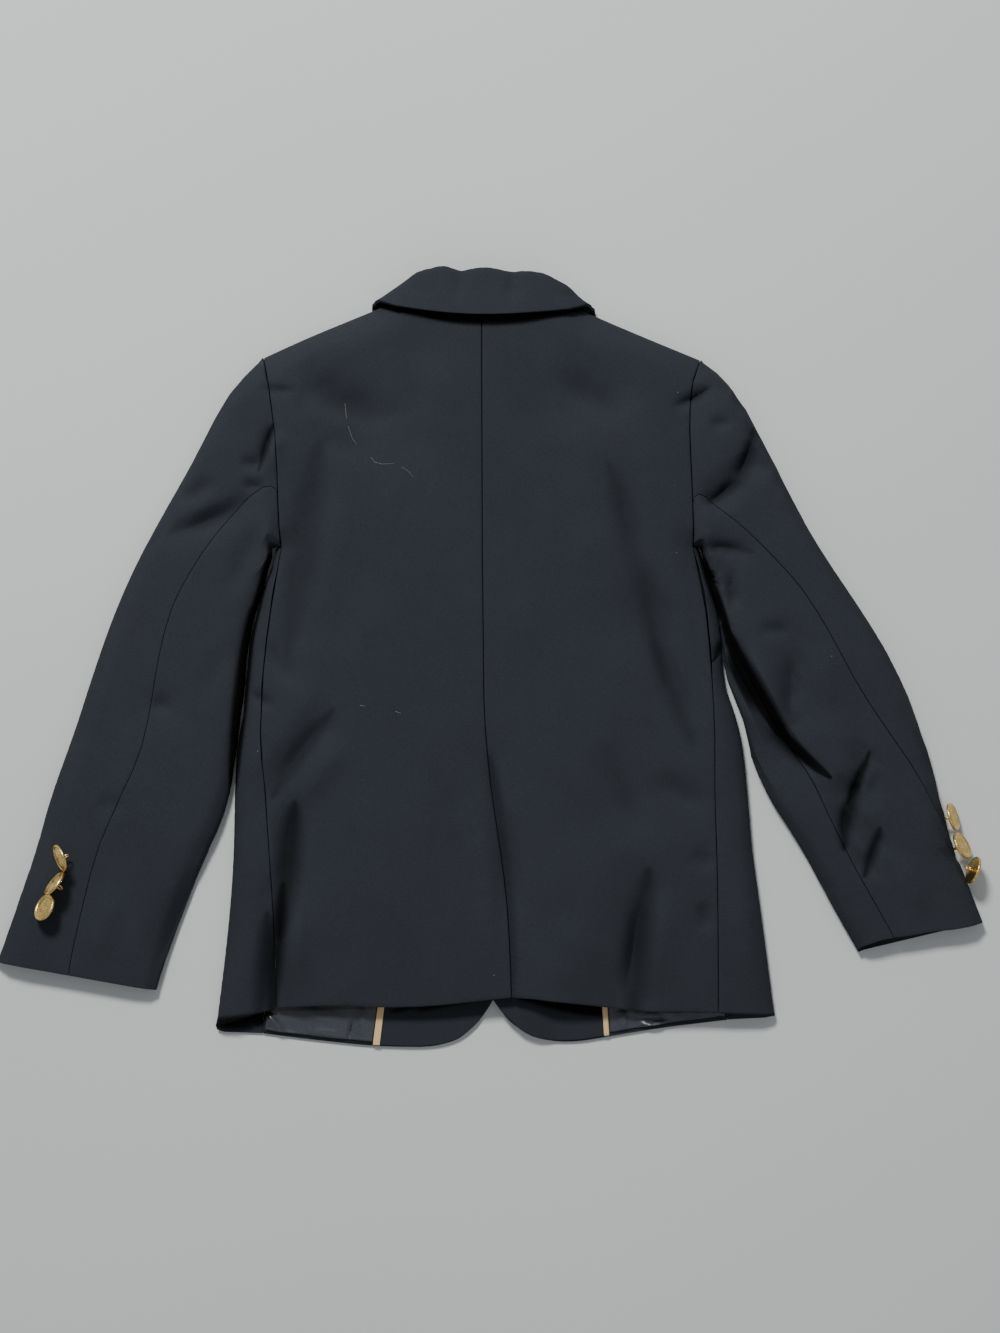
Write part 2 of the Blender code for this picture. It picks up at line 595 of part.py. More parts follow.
def back_panel(name, right):
    top_rows = 4
    arm_rows = 8
    low_rows = 15
    rows = top_rows + arm_rows + low_rows
    columns = 10
    sign = 1.0 if right else -1.0
    side_line = right_seam if right else left_seam
    armhole = Path(ARMHOLE_BACK_RIGHT if right else ARMHOLE_BACK_LEFT)
    arm_x = column_of([Spot(spot.x, spot.y) for spot in armhole.dense], "y", "x")
    corner_x = arm_x(shoulder_y(130.0 * sign))
    hem_near = centre_seam(-210.0)
    hem_far = side_line(-216.0)

    def side_x(y):
        return arm_x(y) if y > UNDERARM_Y else side_line(y)

    def spot(row, column, inset):
        part = column / columns
        near = centre_seam(219.0) + sign * HALF_GAP
        far = corner_x - sign * HALF_GAP
        top_x = near + (far - near) * part
        shoulder = ease((abs(top_x - near) - 34.0) / 24.0)
        top_y = shoulder_y(top_x) - HALF_GAP - inset * shoulder
        turn = math.pi / 2 * min(row / top_rows, 1.0)
        y = top_y - (SHOULDER_ROUND - inset) * 0.85 * (1.0 - math.cos(turn))
        if row > top_rows + arm_rows:
            end = back_hem_y(hem_near + (hem_far - hem_near) * part)
            y = UNDERARM_Y + (end - UNDERARM_Y) * (row - top_rows - arm_rows) / low_rows
        elif row > top_rows:
            y += (UNDERARM_Y - y) * (row - top_rows) / arm_rows
        x_near = centre_seam(y) + sign * HALF_GAP
        x_far = side_x(y) - sign * HALF_GAP
        x = x_near + (x_far - x_near) * part
        return Vector((x, y, back_z(x, y, inset) + (HALF_GAP if row == 0 else 0.0)))

    return cloth_wall(
        name, rows, columns,
        lambda row, column: spot(row, column, 0.0),
        lambda row, column: spot(row, column, CLOTH),
        WORSTED,
    )


# The vent: the left side laps over the right, so the right back carries on below it
VENT_TOP_Y = -54.0
VENT_UNDER = 22.0
VENT_GAP = 1.6
VENT_CLOTH = 1.5


def vent_underlap():
    """The right back's vent facing, which lies below the left back from the vent's top to the hem."""
    rows = 10
    columns = 3

    def spot(row, column, drop):
        reach = row / rows
        y = VENT_TOP_Y + (back_hem_y(10.0) + 0.8 - VENT_TOP_Y) * reach
        wide = VENT_UNDER * (0.45 + 0.55 * ease(reach * 3.0))
        x = centre_seam(y) - HALF_GAP * 2 - wide * column / columns
        return Vector((x, y, back_z(x, y) - CLOTH - VENT_GAP - drop))

    return cloth_wall(
        "vent_underlap", rows, columns,
        lambda row, column: spot(row, column, 0.0),
        lambda row, column: spot(row, column, VENT_CLOTH),
        WORSTED,
    )


# Side panels


def side_panel(name, right):
    rows = 20
    top_columns = 4
    under_columns = 3
    flat_columns = 2
    columns = top_columns + under_columns + flat_columns
    sign = 1.0 if right else -1.0
    fold = right_fold if right else left_fold
    seam = right_seam if right else left_seam
    front_seam = right_front if right else left_front
    front_hem = Path(FRONT_HEM_RIGHT if right else FRONT_HEM_LEFT)
    hem_x = column_of([Spot(spot.x, spot.y) for spot in front_hem.dense], "x", "y")

    def spot(row, column, inset):
        reach = row / rows
        start = UNDERARM_Y - HALF_GAP
        if column <= top_columns:
            x_hem = fold(-220.0) + (seam(-220.0) - fold(-220.0)) * (1.0 - column / top_columns)
            end = back_hem_y(x_hem)
        else:
            part = (column - top_columns) / (under_columns + flat_columns)
            end = hem_x(fold(-225.0) - sign * 28.0 * part)
        y = start + (end - start) * reach
        edge = fold(y) - sign * inset
        far = seam(y) + sign * HALF_GAP
        if column <= top_columns:
            turn = math.pi / 2 * (1.0 - column / top_columns)
            x = edge + (far - edge) * (1.0 - math.cos(turn))
            return Vector((x, y, back_z(x, y, inset)))
        if column <= top_columns + under_columns:
            turn = math.pi / 2 * (column - top_columns) / under_columns
            x = edge - sign * (UNDER_ROUND - inset * 0.6) * (1.0 - math.cos(turn))
            z = FOLD_HEIGHT + (inset - FOLD_HEIGHT) * math.sin(turn)
            return Vector((x, y, z))
        part = (column - top_columns - under_columns) / flat_columns
        near = edge - sign * (UNDER_ROUND - inset * 0.6)
        stop = front_seam(y) + sign * HALF_GAP
        return Vector((near + (stop - near) * part, y, inset))

    return cloth_wall(
        name, rows, columns,
        lambda row, column: spot(row, column, 0.0),
        lambda row, column: spot(row, column, CLOTH),
        WORSTED,
    )


# Fronts


def front_panel(name, right):
    top_rows = 2
    arm_rows = 8
    low_rows = 20
    rows = top_rows + arm_rows + low_rows
    columns = 10
    fold_columns = 3
    lapel_columns = 3
    sign = 1.0 if right else -1.0
    hem = Path(FRONT_HEM_RIGHT if right else FRONT_HEM_LEFT)
    hem_y = column_of([Spot(spot.x, spot.y) for spot in hem.dense], "x", "y")
    cutaway = CUTAWAY_RIGHT if right else CUTAWAY_LEFT
    neck = NECK_RIGHT if right else NECK_LEFT
    roll = ROLL_RIGHT if right else ROLL_LEFT
    arm = ARMHOLE_FRONT_RIGHT if right else ARMHOLE_FRONT_LEFT
    seam = right_front if right else left_front
    stop = BREAK_RIGHT_Y if right else BREAK_Y
    side_points = [Spot(spot.x - sign * HALF_GAP, spot.y) for spot in arm]
    side_end = hem_y(seam(-225.0))
    for step in range(1, 15):
        y = UNDERARM_Y + (side_end - UNDERARM_Y) * step / 14
        side_points.append(Spot(seam(y) - sign * HALF_GAP, y))
    edge_points = list(neck) + list(roll)
    edge_points += [Spot(CENTRE_X - sign * LAP, -60.0), Spot(CENTRE_X - sign * LAP, -130.0)]
    edge_points += list(reversed(cutaway))
    side = Path(side_points, sharp=(len(arm) - 1,))
    edge = Path(edge_points)
    top_points = [side_points[0]]
    for step in range(1, 8):
        x = side_points[0].x + (neck[0].x - side_points[0].x) * step / 8
        top_points.append(Spot(x, shoulder_y(x) - HALF_GAP))
    top_points.append(neck[0])
    top = Path(top_points)
    bottom_points = [side_points[-1]]
    for step in range(1, 9):
        x = side_points[-1].x + (cutaway[0].x - side_points[-1].x) * step / 9
        bottom_points.append(Spot(x, hem_y(x)))
    bottom_points.append(cutaway[0])
    bottom = Path(bottom_points)
    corners = (top.at(0.0), top.at(1.0), bottom.at(0.0), bottom.at(1.0))
    arm_share = Path(side_points[:len(arm)]).length / side.length
    first_share = SHOULDER_UNDER / side.length

    def plan(down, across):
        """Coons patch on the four edges."""
        between_rows = top.at(across).lerp(bottom.at(across), down)
        between_columns = side.at(down).lerp(edge.at(down), across)
        straight = corners[0].lerp(corners[1], across).lerp(corners[2].lerp(corners[3], across), down)
        return between_rows + between_columns - straight

    def down_of(row):
        if row <= top_rows:
            return first_share * (1.0 - math.cos(math.pi / 2 * row / top_rows))
        if row <= top_rows + arm_rows:
            return first_share + (arm_share - first_share) * (row - top_rows) / arm_rows
        return arm_share + (1.0 - arm_share) * (row - top_rows - arm_rows) / low_rows

    lapel_rows = [row for row in range(rows + 1) if stop < edge.at(down_of(row)).y < GORGE_Y]
    first_row, last_row = lapel_rows[0], lapel_rows[-1]
    outward = Vector((sign, -0.10, 0.0)).normalized()

    def spot(row, column, inset):
        place = plan(down_of(row), 1.0 - (1.0 - min(column / columns, 1.0)) ** 1.7)
        near_top = 1.0 - rounded(shoulder_fall_y(place.x) - place.y, SHOULDER_UNDER)
        place.y -= inset * near_top
        place.x -= sign * 0.44 * inset * near_top * (1.0 - min(column / columns, 1.0))
        lift = front_lift(place.x, place.y, right)
        rise = under_z(place.x, place.y, inset)
        z = max(lift + inset, rise) - (HALF_GAP if row == 0 else 0.0)
        if column <= columns:
            return Vector((place.x, place.y, z))
        along = (row - first_row) / (last_row - first_row)
        around = column - columns
        radius = HALF_GAP + inset
        middle = lift - HALF_GAP
        if around <= fold_columns:
            turn = math.pi * around / fold_columns
            shift = -outward * radius * math.sin(turn)
            return Vector((place.x, place.y, 0.0)) + shift + Vector((0, 0, middle + radius * math.cos(turn)))
        share = (around - fold_columns) / lapel_columns
        tip = 6.0 * (1.0 - ease(along * 5.0)) * share
        spread = Vector((place.x, place.y, 0.0)) + outward * lapel_width(along) * share
        drop = (middle - HALF_GAP - CLOTH) * min(share * 1.5, 1.0)
        return Vector((spread.x, spread.y + tip, middle - radius - drop))

    def keep(row, column):
        return column < columns or first_row <= row < last_row

    return cloth_wall(
        name, rows, columns + fold_columns + lapel_columns,
        lambda row, column: spot(row, column, 0.0),
        lambda row, column: spot(row, column, CLOTH),
        WORSTED, keep,
    )


LAPEL_WIDTH = 52.0


def lapel_width(along):
    """Width of a lapel from its gorge, 0, to its break, 1."""
    return LAPEL_WIDTH * (1.0 - 0.86 * ease(along) - 0.05 * along)


# Sleeves

# Steps of the loop round a sleeve: inner round, top, outer round, and the same below
INNER_TOP, MIDDLE_TOP, OUTER_TOP, OUTER_LOW, MIDDLE_LOW, INNER_LOW = 1.0, 3.5, 1.0, 1.0, 2.5, 1.0
LOOP = INNER_TOP + MIDDLE_TOP + OUTER_TOP + OUTER_LOW + MIDDLE_LOW + INNER_LOW


def loop_place(share, length, reach):
    """The step round the loop for a place given as a share of the ring: 0 to 1 above, 1 to 2 below."""
    if share > 2.0:
        return LOOP + loop_place(share - 2.0, length, reach)
    if share <= 1.0:
        run = share * length
        if run < reach:
            return math.acos(1.0 - run / reach) / (math.pi / 2) * INNER_TOP
        if run > length - reach:
            left = math.acos(min(1.0 - (length - run) / reach, 1.0)) / (math.pi / 2)
            return INNER_TOP + MIDDLE_TOP + (1.0 - left) * OUTER_TOP
        return INNER_TOP + MIDDLE_TOP * (run - reach) / (length - 2 * reach)
    run = (share - 1.0) * length
    start = INNER_TOP + MIDDLE_TOP + OUTER_TOP
    if run < UNDER_ROUND:
        return start + math.acos(1.0 - run / UNDER_ROUND) / (math.pi / 2)
    if run > length - UNDER_ROUND:
        left = math.acos(min(1.0 - (length - run) / UNDER_ROUND, 1.0)) / (math.pi / 2)
        return start + OUTER_LOW + MIDDLE_LOW + (1.0 - left)
    return start + OUTER_LOW + MIDDLE_LOW * (run - UNDER_ROUND) / (length - 2 * UNDER_ROUND)


def loop_share(step, length, reach):
    """The share of the ring across, and whether it is above or below, with its rounding from 0 to 1."""
    step = step % LOOP
    if step <= INNER_TOP:
        turn = math.pi / 2 * step / INNER_TOP
        return reach * (1.0 - math.cos(turn)) / length, True, math.sin(turn)
    step -= INNER_TOP
    if step <= MIDDLE_TOP:
        return (reach + (length - 2 * reach) * step / MIDDLE_TOP) / length, True, 1.0
    step -= MIDDLE_TOP
    if step <= OUTER_TOP:
        turn = math.pi / 2 * (1.0 - step / OUTER_TOP)
        return 1.0 - reach * (1.0 - math.cos(turn)) / length, True, math.sin(turn)
    step -= OUTER_TOP
    if step <= OUTER_LOW:
        turn = math.pi / 2 * step / OUTER_LOW
        return 1.0 - UNDER_ROUND * (1.0 - math.cos(turn)) / length, False, math.sin(turn)
    step -= OUTER_LOW
    if step <= MIDDLE_LOW:
        return 1.0 - (UNDER_ROUND + (length - 2 * UNDER_ROUND) * step / MIDDLE_LOW) / length, False, 1.0
    step -= MIDDLE_LOW
    turn = math.pi / 2 * (1.0 - step / INNER_LOW)
    return UNDER_ROUND * (1.0 - math.cos(turn)) / length, False, math.sin(turn)


class Sleeve:
    ARMHOLE_REACH = 0.17

    def __init__(self, rings, right):
        self.right = right
        self.sign = 1.0 if right else -1.0
        self.rings = rings
        arm_back = ARMHOLE_BACK_RIGHT if right else ARMHOLE_BACK_LEFT
        arm_front = ARMHOLE_FRONT_RIGHT if right else ARMHOLE_FRONT_LEFT
        fold = right_fold(UNDERARM_Y) if right else left_fold(UNDERARM_Y)
        self.arm_top = Path([Spot(fold, UNDERARM_Y)] + list(arm_back), sharp=(1,))
        self.arm_low = Path([Spot(fold, UNDERARM_Y)] + list(reversed(arm_front)), sharp=(1,))

    def row_value(self, name, along):
        values = [getattr(ring, name) for ring in self.rings]
        return value_at(list(range(len(values))), values, along * (len(values) - 1))

    def folds(self, along):
        """The inner and outer fold of the ring at this place."""
        inner = Vector((self.row_value("inner_x", along), self.row_value("inner_y", along), 0.0))
        outer = Vector((self.row_value("outer_x", along), self.row_value("outer_y", along), 0.0))
        return inner, outer

    def point(self, along, step, inset):
        inner, outer = self.folds(along)
        reach = self.row_value("round", along)
        full = (outer - inner).length
        length = full - 2 * inset
        share, above, round_up = loop_share(step, length, reach - inset * 0.8)
        place = inner.lerp(outer, (inset + share * length) / full)
        height = self.row_value("height", along) + folds_at(SLEEVE_FOLDS, place.x, place.y)
        height -= self.valley(along, (inset + share * length), full)
        if above:
            z = FOLD_HEIGHT + (height - inset - FOLD_HEIGHT) * round_up
        else:
            z = FOLD_HEIGHT + (inset - FOLD_HEIGHT) * round_up
        quick = 1.0 - (ease((share - 0.05) / 0.2) if above else ease((share - 0.02) / 0.08))
        joined = ease(along / (self.ARMHOLE_REACH * (1.0 - 0.5 * quick)))
        if joined >= 1.0:
            return Vector((place.x, place.y, z))
        arm = self.arm_top if above else self.arm_low
        arm_run = inset + share * (arm.length - 2 * inset)
        at_arm = arm.at_length(arm_run)
        if above:
            arm_z = back_z(at_arm.x, at_arm.y, inset) + folds_at(SLEEVE_FOLDS, at_arm.x, at_arm.y)
        elif share > 0.5:
            arm_z = under_z(at_arm.x, at_arm.y, inset)
        else:
            arm_z = FOLD_HEIGHT + (inset - FOLD_HEIGHT) * round_up
        mixed = at_arm.lerp(place, joined)
        off = SEAM_GAP * (1.0 - joined)
        return Vector((mixed.x + self.sign * off, mixed.y + off, arm_z + (z - arm_z) * joined))

    def valley(self, along, run, full):
        """The deep fold that runs down the forearm seam where the sleeve is twisted."""
        deep = self.row_value("valley", along)
        if deep <= 0.0:
            return 0.0
        place = (self.row_value("fore", along) - 2.0) * full
        off = run - place
        wide = 3.4 if off > 0 else 4.2
        lower_strip = 3.0 * ease((-off) / 4.0) * min(deep / 8.0, 1.0)
        return deep * math.exp(-((off / wide) ** 2)) + lower_strip

    def seam_step(self, name, along, shift):
        inner, outer = self.folds(along)
        length = (outer - inner).length
        share = self.row_value(name, along) + shift / length
        return loop_place(share, length, self.row_value("round", along))

    def piece(self, name, first, last, columns, wrap):
        rows = 26

        def spot(row, column, inset):
            along = row / rows
            start = self.seam_step(first, along, HALF_GAP)
            stop = self.seam_step(last, along, -HALF_GAP) + (LOOP if wrap else 0.0)
            step = start + (stop - start) * column / columns
            return self.point(along, step, inset)

        return cloth_wall(
            name, rows, columns,
            lambda row, column: spot(row, column, 0.0),
            lambda row, column: spot(row, column, CLOTH),
            WORSTED,
        )


def sleeves():
    left = Sleeve(RINGS_LEFT, False)
    left.piece("sleeve_left_upper", "hind", "fore", 12, False)
    left.piece("sleeve_left_under", "fore", "hind", 9, True)
    right = Sleeve(RINGS_RIGHT, True)
    right.piece("sleeve_right_upper", "hind", "fore", 15, False)
    right.piece("sleeve_right_under", "fore", "hind", 9, True)


# Collar


def collar():
    columns = 2 * (len(COLLAR) - 1)
    stand_rows = 2
    turn_rows = 4
    fall_rows = 3
    rows = stand_rows + turn_rows + fall_rows
    stations = list(range(len(COLLAR)))

    def row_vector(names, place):
        return Vector([value_at(stations, [getattr(row, name) for row in COLLAR], place) for name in names])

    def spot(row, column, inset):
        place = column / columns * (len(COLLAR) - 1)
        roll = row_vector(("fold_x", "fold_y", "fold_z"), place)
        neck = row_vector(("neck_x", "neck_y", "neck_z"), place)
        fall = row_vector(("fall_x", "fall_y", "fall_z"), place)
        roll.z = max(roll.z, HALF_GAP + CLOTH)
        fall.z = max(fall.z, CLOTH / 2 + 0.05)
        facing = math.radians(value_at(stations, [entry.facing for entry in COLLAR], place))
        outward = SHOULDER_OUTWARD_LEFT if facing < 0 else SHOULDER_OUTWARD_RIGHT
        normal = Vector((0, 0, 1)) * math.cos(facing) + outward * abs(math.sin(facing))
        back = (neck + fall) / 2 - roll
        back = (back - normal * back.dot(normal)).normalized()
        stand_face = roll - normal * (HALF_GAP + CLOTH - inset)
        fall_face = roll + normal * (HALF_GAP + CLOTH - inset)
        thick = CLOTH / 2 - inset
        if row <= stand_rows:
            part = 1.0 - row / stand_rows
            return stand_face.lerp(neck - normal * thick, part)
        if row < stand_rows + turn_rows:
            turn = math.pi * (row - stand_rows) / turn_rows
            radius = HALF_GAP + CLOTH - inset
            return roll - back * radius * math.sin(turn) - normal * radius * math.cos(turn)
        part = (row - stand_rows - turn_rows) / fall_rows
        return fall_face.lerp(fall + normal * thick, part)

    return cloth_wall(
        "collar", rows, columns,
        lambda row, column: spot(row, column, 0.0),
        lambda row, column: spot(row, column, CLOTH),
        WORSTED,
    )


# Pieces that show in the hem opening


def hem_outline(right):
    """The lower outline of a front, as a height for each place across it."""
    hem = FRONT_HEM_RIGHT if right else FRONT_HEM_LEFT
    cutaway = CUTAWAY_RIGHT if right else CUTAWAY_LEFT
    return column_of(Path(hem + cutaway[1:]).dense, "x", "y")


def piping_x(y, right):
    """The middle of the piping where facing and lining meet."""
    return 72.5 - 0.067 * (y + 235.6) if right else -70.7 + 0.125 * (y + 241.2)


LIFT_SPREAD = 9.0
PIPING_WIDTH_LEFT = 4.2
PIPING_WIDTH_RIGHT = 3.4


def hem_strip(name, right, near_x, far_x, columns, lift_off, thick, finish_material):
    """A strip on the inside of a front, from its hem up under the back; near_x and far_x give its sides."""
    rows = 7
    lowest = hem_outline(right)

    def spot(row, column, top):
        share = column / columns
        y = HEM_LINING_TOP_Y
        for _ in range(3):
            x = near_x(y) + (far_x(y) - near_x(y)) * share
            low = lowest(x) + lift_off
            y = HEM_LINING_TOP_Y + (low - HEM_LINING_TOP_Y) * row / rows
        base = max(front_lift(x + side, y, right) for side in (-LIFT_SPREAD, 0.0, LIFT_SPREAD))
        base += CLOTH + SEAM_GAP
        return Vector((x, y, base + top))

    return cloth_wall(
        name, rows, columns,
        lambda row, column: spot(row, column, 0.0),
        lambda row, column: spot(row, column, thick),
        finish_material,
    )


def hem_opening(side, right):
    sign = 1.0 if right else -1.0
    seam = right_front if right else left_front
    half = (PIPING_WIDTH_RIGHT if right else PIPING_WIDTH_LEFT) / 2
    edge = CENTRE_X - sign * (LAP - 1.2)
    hem_strip(
        "facing_" + side, right,
        lambda y: piping_x(y, right) - sign * (half + SEAM_GAP),
        lambda y: edge,
        8, 1.0, FACING, WORSTED,
    )
    hem_strip(
        "piping_" + side, right,
        lambda y: piping_x(y, right) + sign * half,
        lambda y: piping_x(y, right) - sign * half,
        2, 0.8, PIPING_HEIGHT, PIPING,
    )
    hem_strip(
        "lining_" + side, right,
        lambda y: seam(y) - sign * 1.5,
        lambda y: piping_x(y, right) + sign * (half + SEAM_GAP),
        5, 2.6, LINING, SATIN,
    )


# Buttons


def shank_button(name, centre, face, shank):
    """A domed button turned round its axis, with its shank on the back."""
    profile = BUTTON_FACE + [
        ProfileSpot(SHANK_RADIUS, BUTTON_BACK),
        ProfileSpot(SHANK_RADIUS, BUTTON_BACK - shank),
        ProfileSpot(0.0, BUTTON_BACK - shank),
    ]
    turned = bmesh.new()
    line = [turned.verts.new((spot.radius, 0.0, spot.height)) for spot in profile]
    edges = [turned.edges.new(pair) for pair in zip(line, line[1:])]
    bmesh.ops.spin(
        turned, geom=line + edges, axis=(0, 0, 1), cent=(0, 0, 0),
        angle=math.tau, steps=BUTTON_SIDES, use_merge=True,
    )
    bmesh.ops.remove_doubles(turned, verts=turned.verts, dist=0.0001)
    turn = Vector((0, 0, 1)).rotation_difference(face.normalized())
    for vert in turned.verts:
        vert.co = turn @ vert.co + centre
    return finish(name, turned, GOLD)


def buttons():
    for row in BUTTONS:
        tip = math.radians(row.tip)
        look = Vector((row.look_x, row.look_y, 0.0)).normalized()
        face = look * math.sin(tip) + Vector((0, 0, math.cos(tip)))
        shank_button(row.name, Vector((row.x, row.y, row.z)), face, CUFF_SHANK)
    for number, (y, shank) in enumerate(zip(FRONT_BUTTONS_Y, FRONT_SHANKS), 1):
        centre = Vector((CENTRE_X, y, BUTTON_FACE[0].height + 0.05))
        shank_button(f"front_button_{number}", centre, Vector((0, 0, -1)), shank)


back_panel("back_left", False)
back_panel("back_right", True)
vent_underlap()
side_panel("side_left", False)
side_panel("side_right", True)
front_panel("front_left", False)
front_panel("front_right", True)
sleeves()
collar()
hem_opening("left", False)
hem_opening("right", True)
buttons()
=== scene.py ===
# %% [markdown]
# # Blazer, laid face down
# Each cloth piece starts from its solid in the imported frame. Its coarse walls are cut finer, their edges
# rounded, their faces smoothed, and the creases of the photo are pressed in from one table.

# %% Load the frame
import math
from collections import namedtuple

import bmesh
import bpy
import numpy as np
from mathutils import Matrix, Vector, noise
from mathutils.bvhtree import BVHTree
from mathutils.kdtree import KDTree


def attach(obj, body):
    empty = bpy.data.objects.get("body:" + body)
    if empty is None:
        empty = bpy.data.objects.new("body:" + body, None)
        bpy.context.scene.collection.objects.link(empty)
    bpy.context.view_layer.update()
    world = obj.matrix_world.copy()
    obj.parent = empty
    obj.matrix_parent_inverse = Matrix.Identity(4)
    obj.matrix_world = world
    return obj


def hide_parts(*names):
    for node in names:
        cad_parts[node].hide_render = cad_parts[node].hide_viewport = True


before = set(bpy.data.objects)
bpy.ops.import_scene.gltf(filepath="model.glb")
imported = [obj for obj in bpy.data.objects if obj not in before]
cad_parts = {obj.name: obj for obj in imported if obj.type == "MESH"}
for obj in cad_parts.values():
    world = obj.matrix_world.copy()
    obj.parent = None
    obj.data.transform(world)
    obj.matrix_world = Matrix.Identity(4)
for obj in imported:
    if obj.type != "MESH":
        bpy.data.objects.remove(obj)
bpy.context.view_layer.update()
MM = 0.001
PIXEL = 0.62               # mm on the cloth for one pixel of the photo
PHOTO_X, PHOTO_Y = 489.5, 660.1   # the pixel that the frame's origin lies at


def from_photo(px, py):
    """A place in the frame, in mm, for a pixel of the photo."""
    return (px - PHOTO_X) * PIXEL, (PHOTO_Y - py) * PIXEL


def ease(value):
    value = np.clip(value, 0.0, 1.0)
    return value * value * (3.0 - 2.0 * value)


def corners_of(row):
    """The start, bend and end of a row's line, in mm."""
    return [np.array(from_photo(*pair)) for pair in ((row.x0, row.y0), (row.x1, row.y1), (row.x2, row.y2))]


def on_curve(points, share):
    """The place at a share of the way along a line's curve."""
    start, bend, end = points
    return (1 - share) ** 2 * start + 2 * share * (1 - share) * bend + share ** 2 * end


# %% [markdown]
# ## Creases
# One row for each crease: a line from start through a bend to its end, in the photo's pixels, with its half
# width and height in mm. A height below 0 is a trough. Sharp is the share of the profile that turns at once.

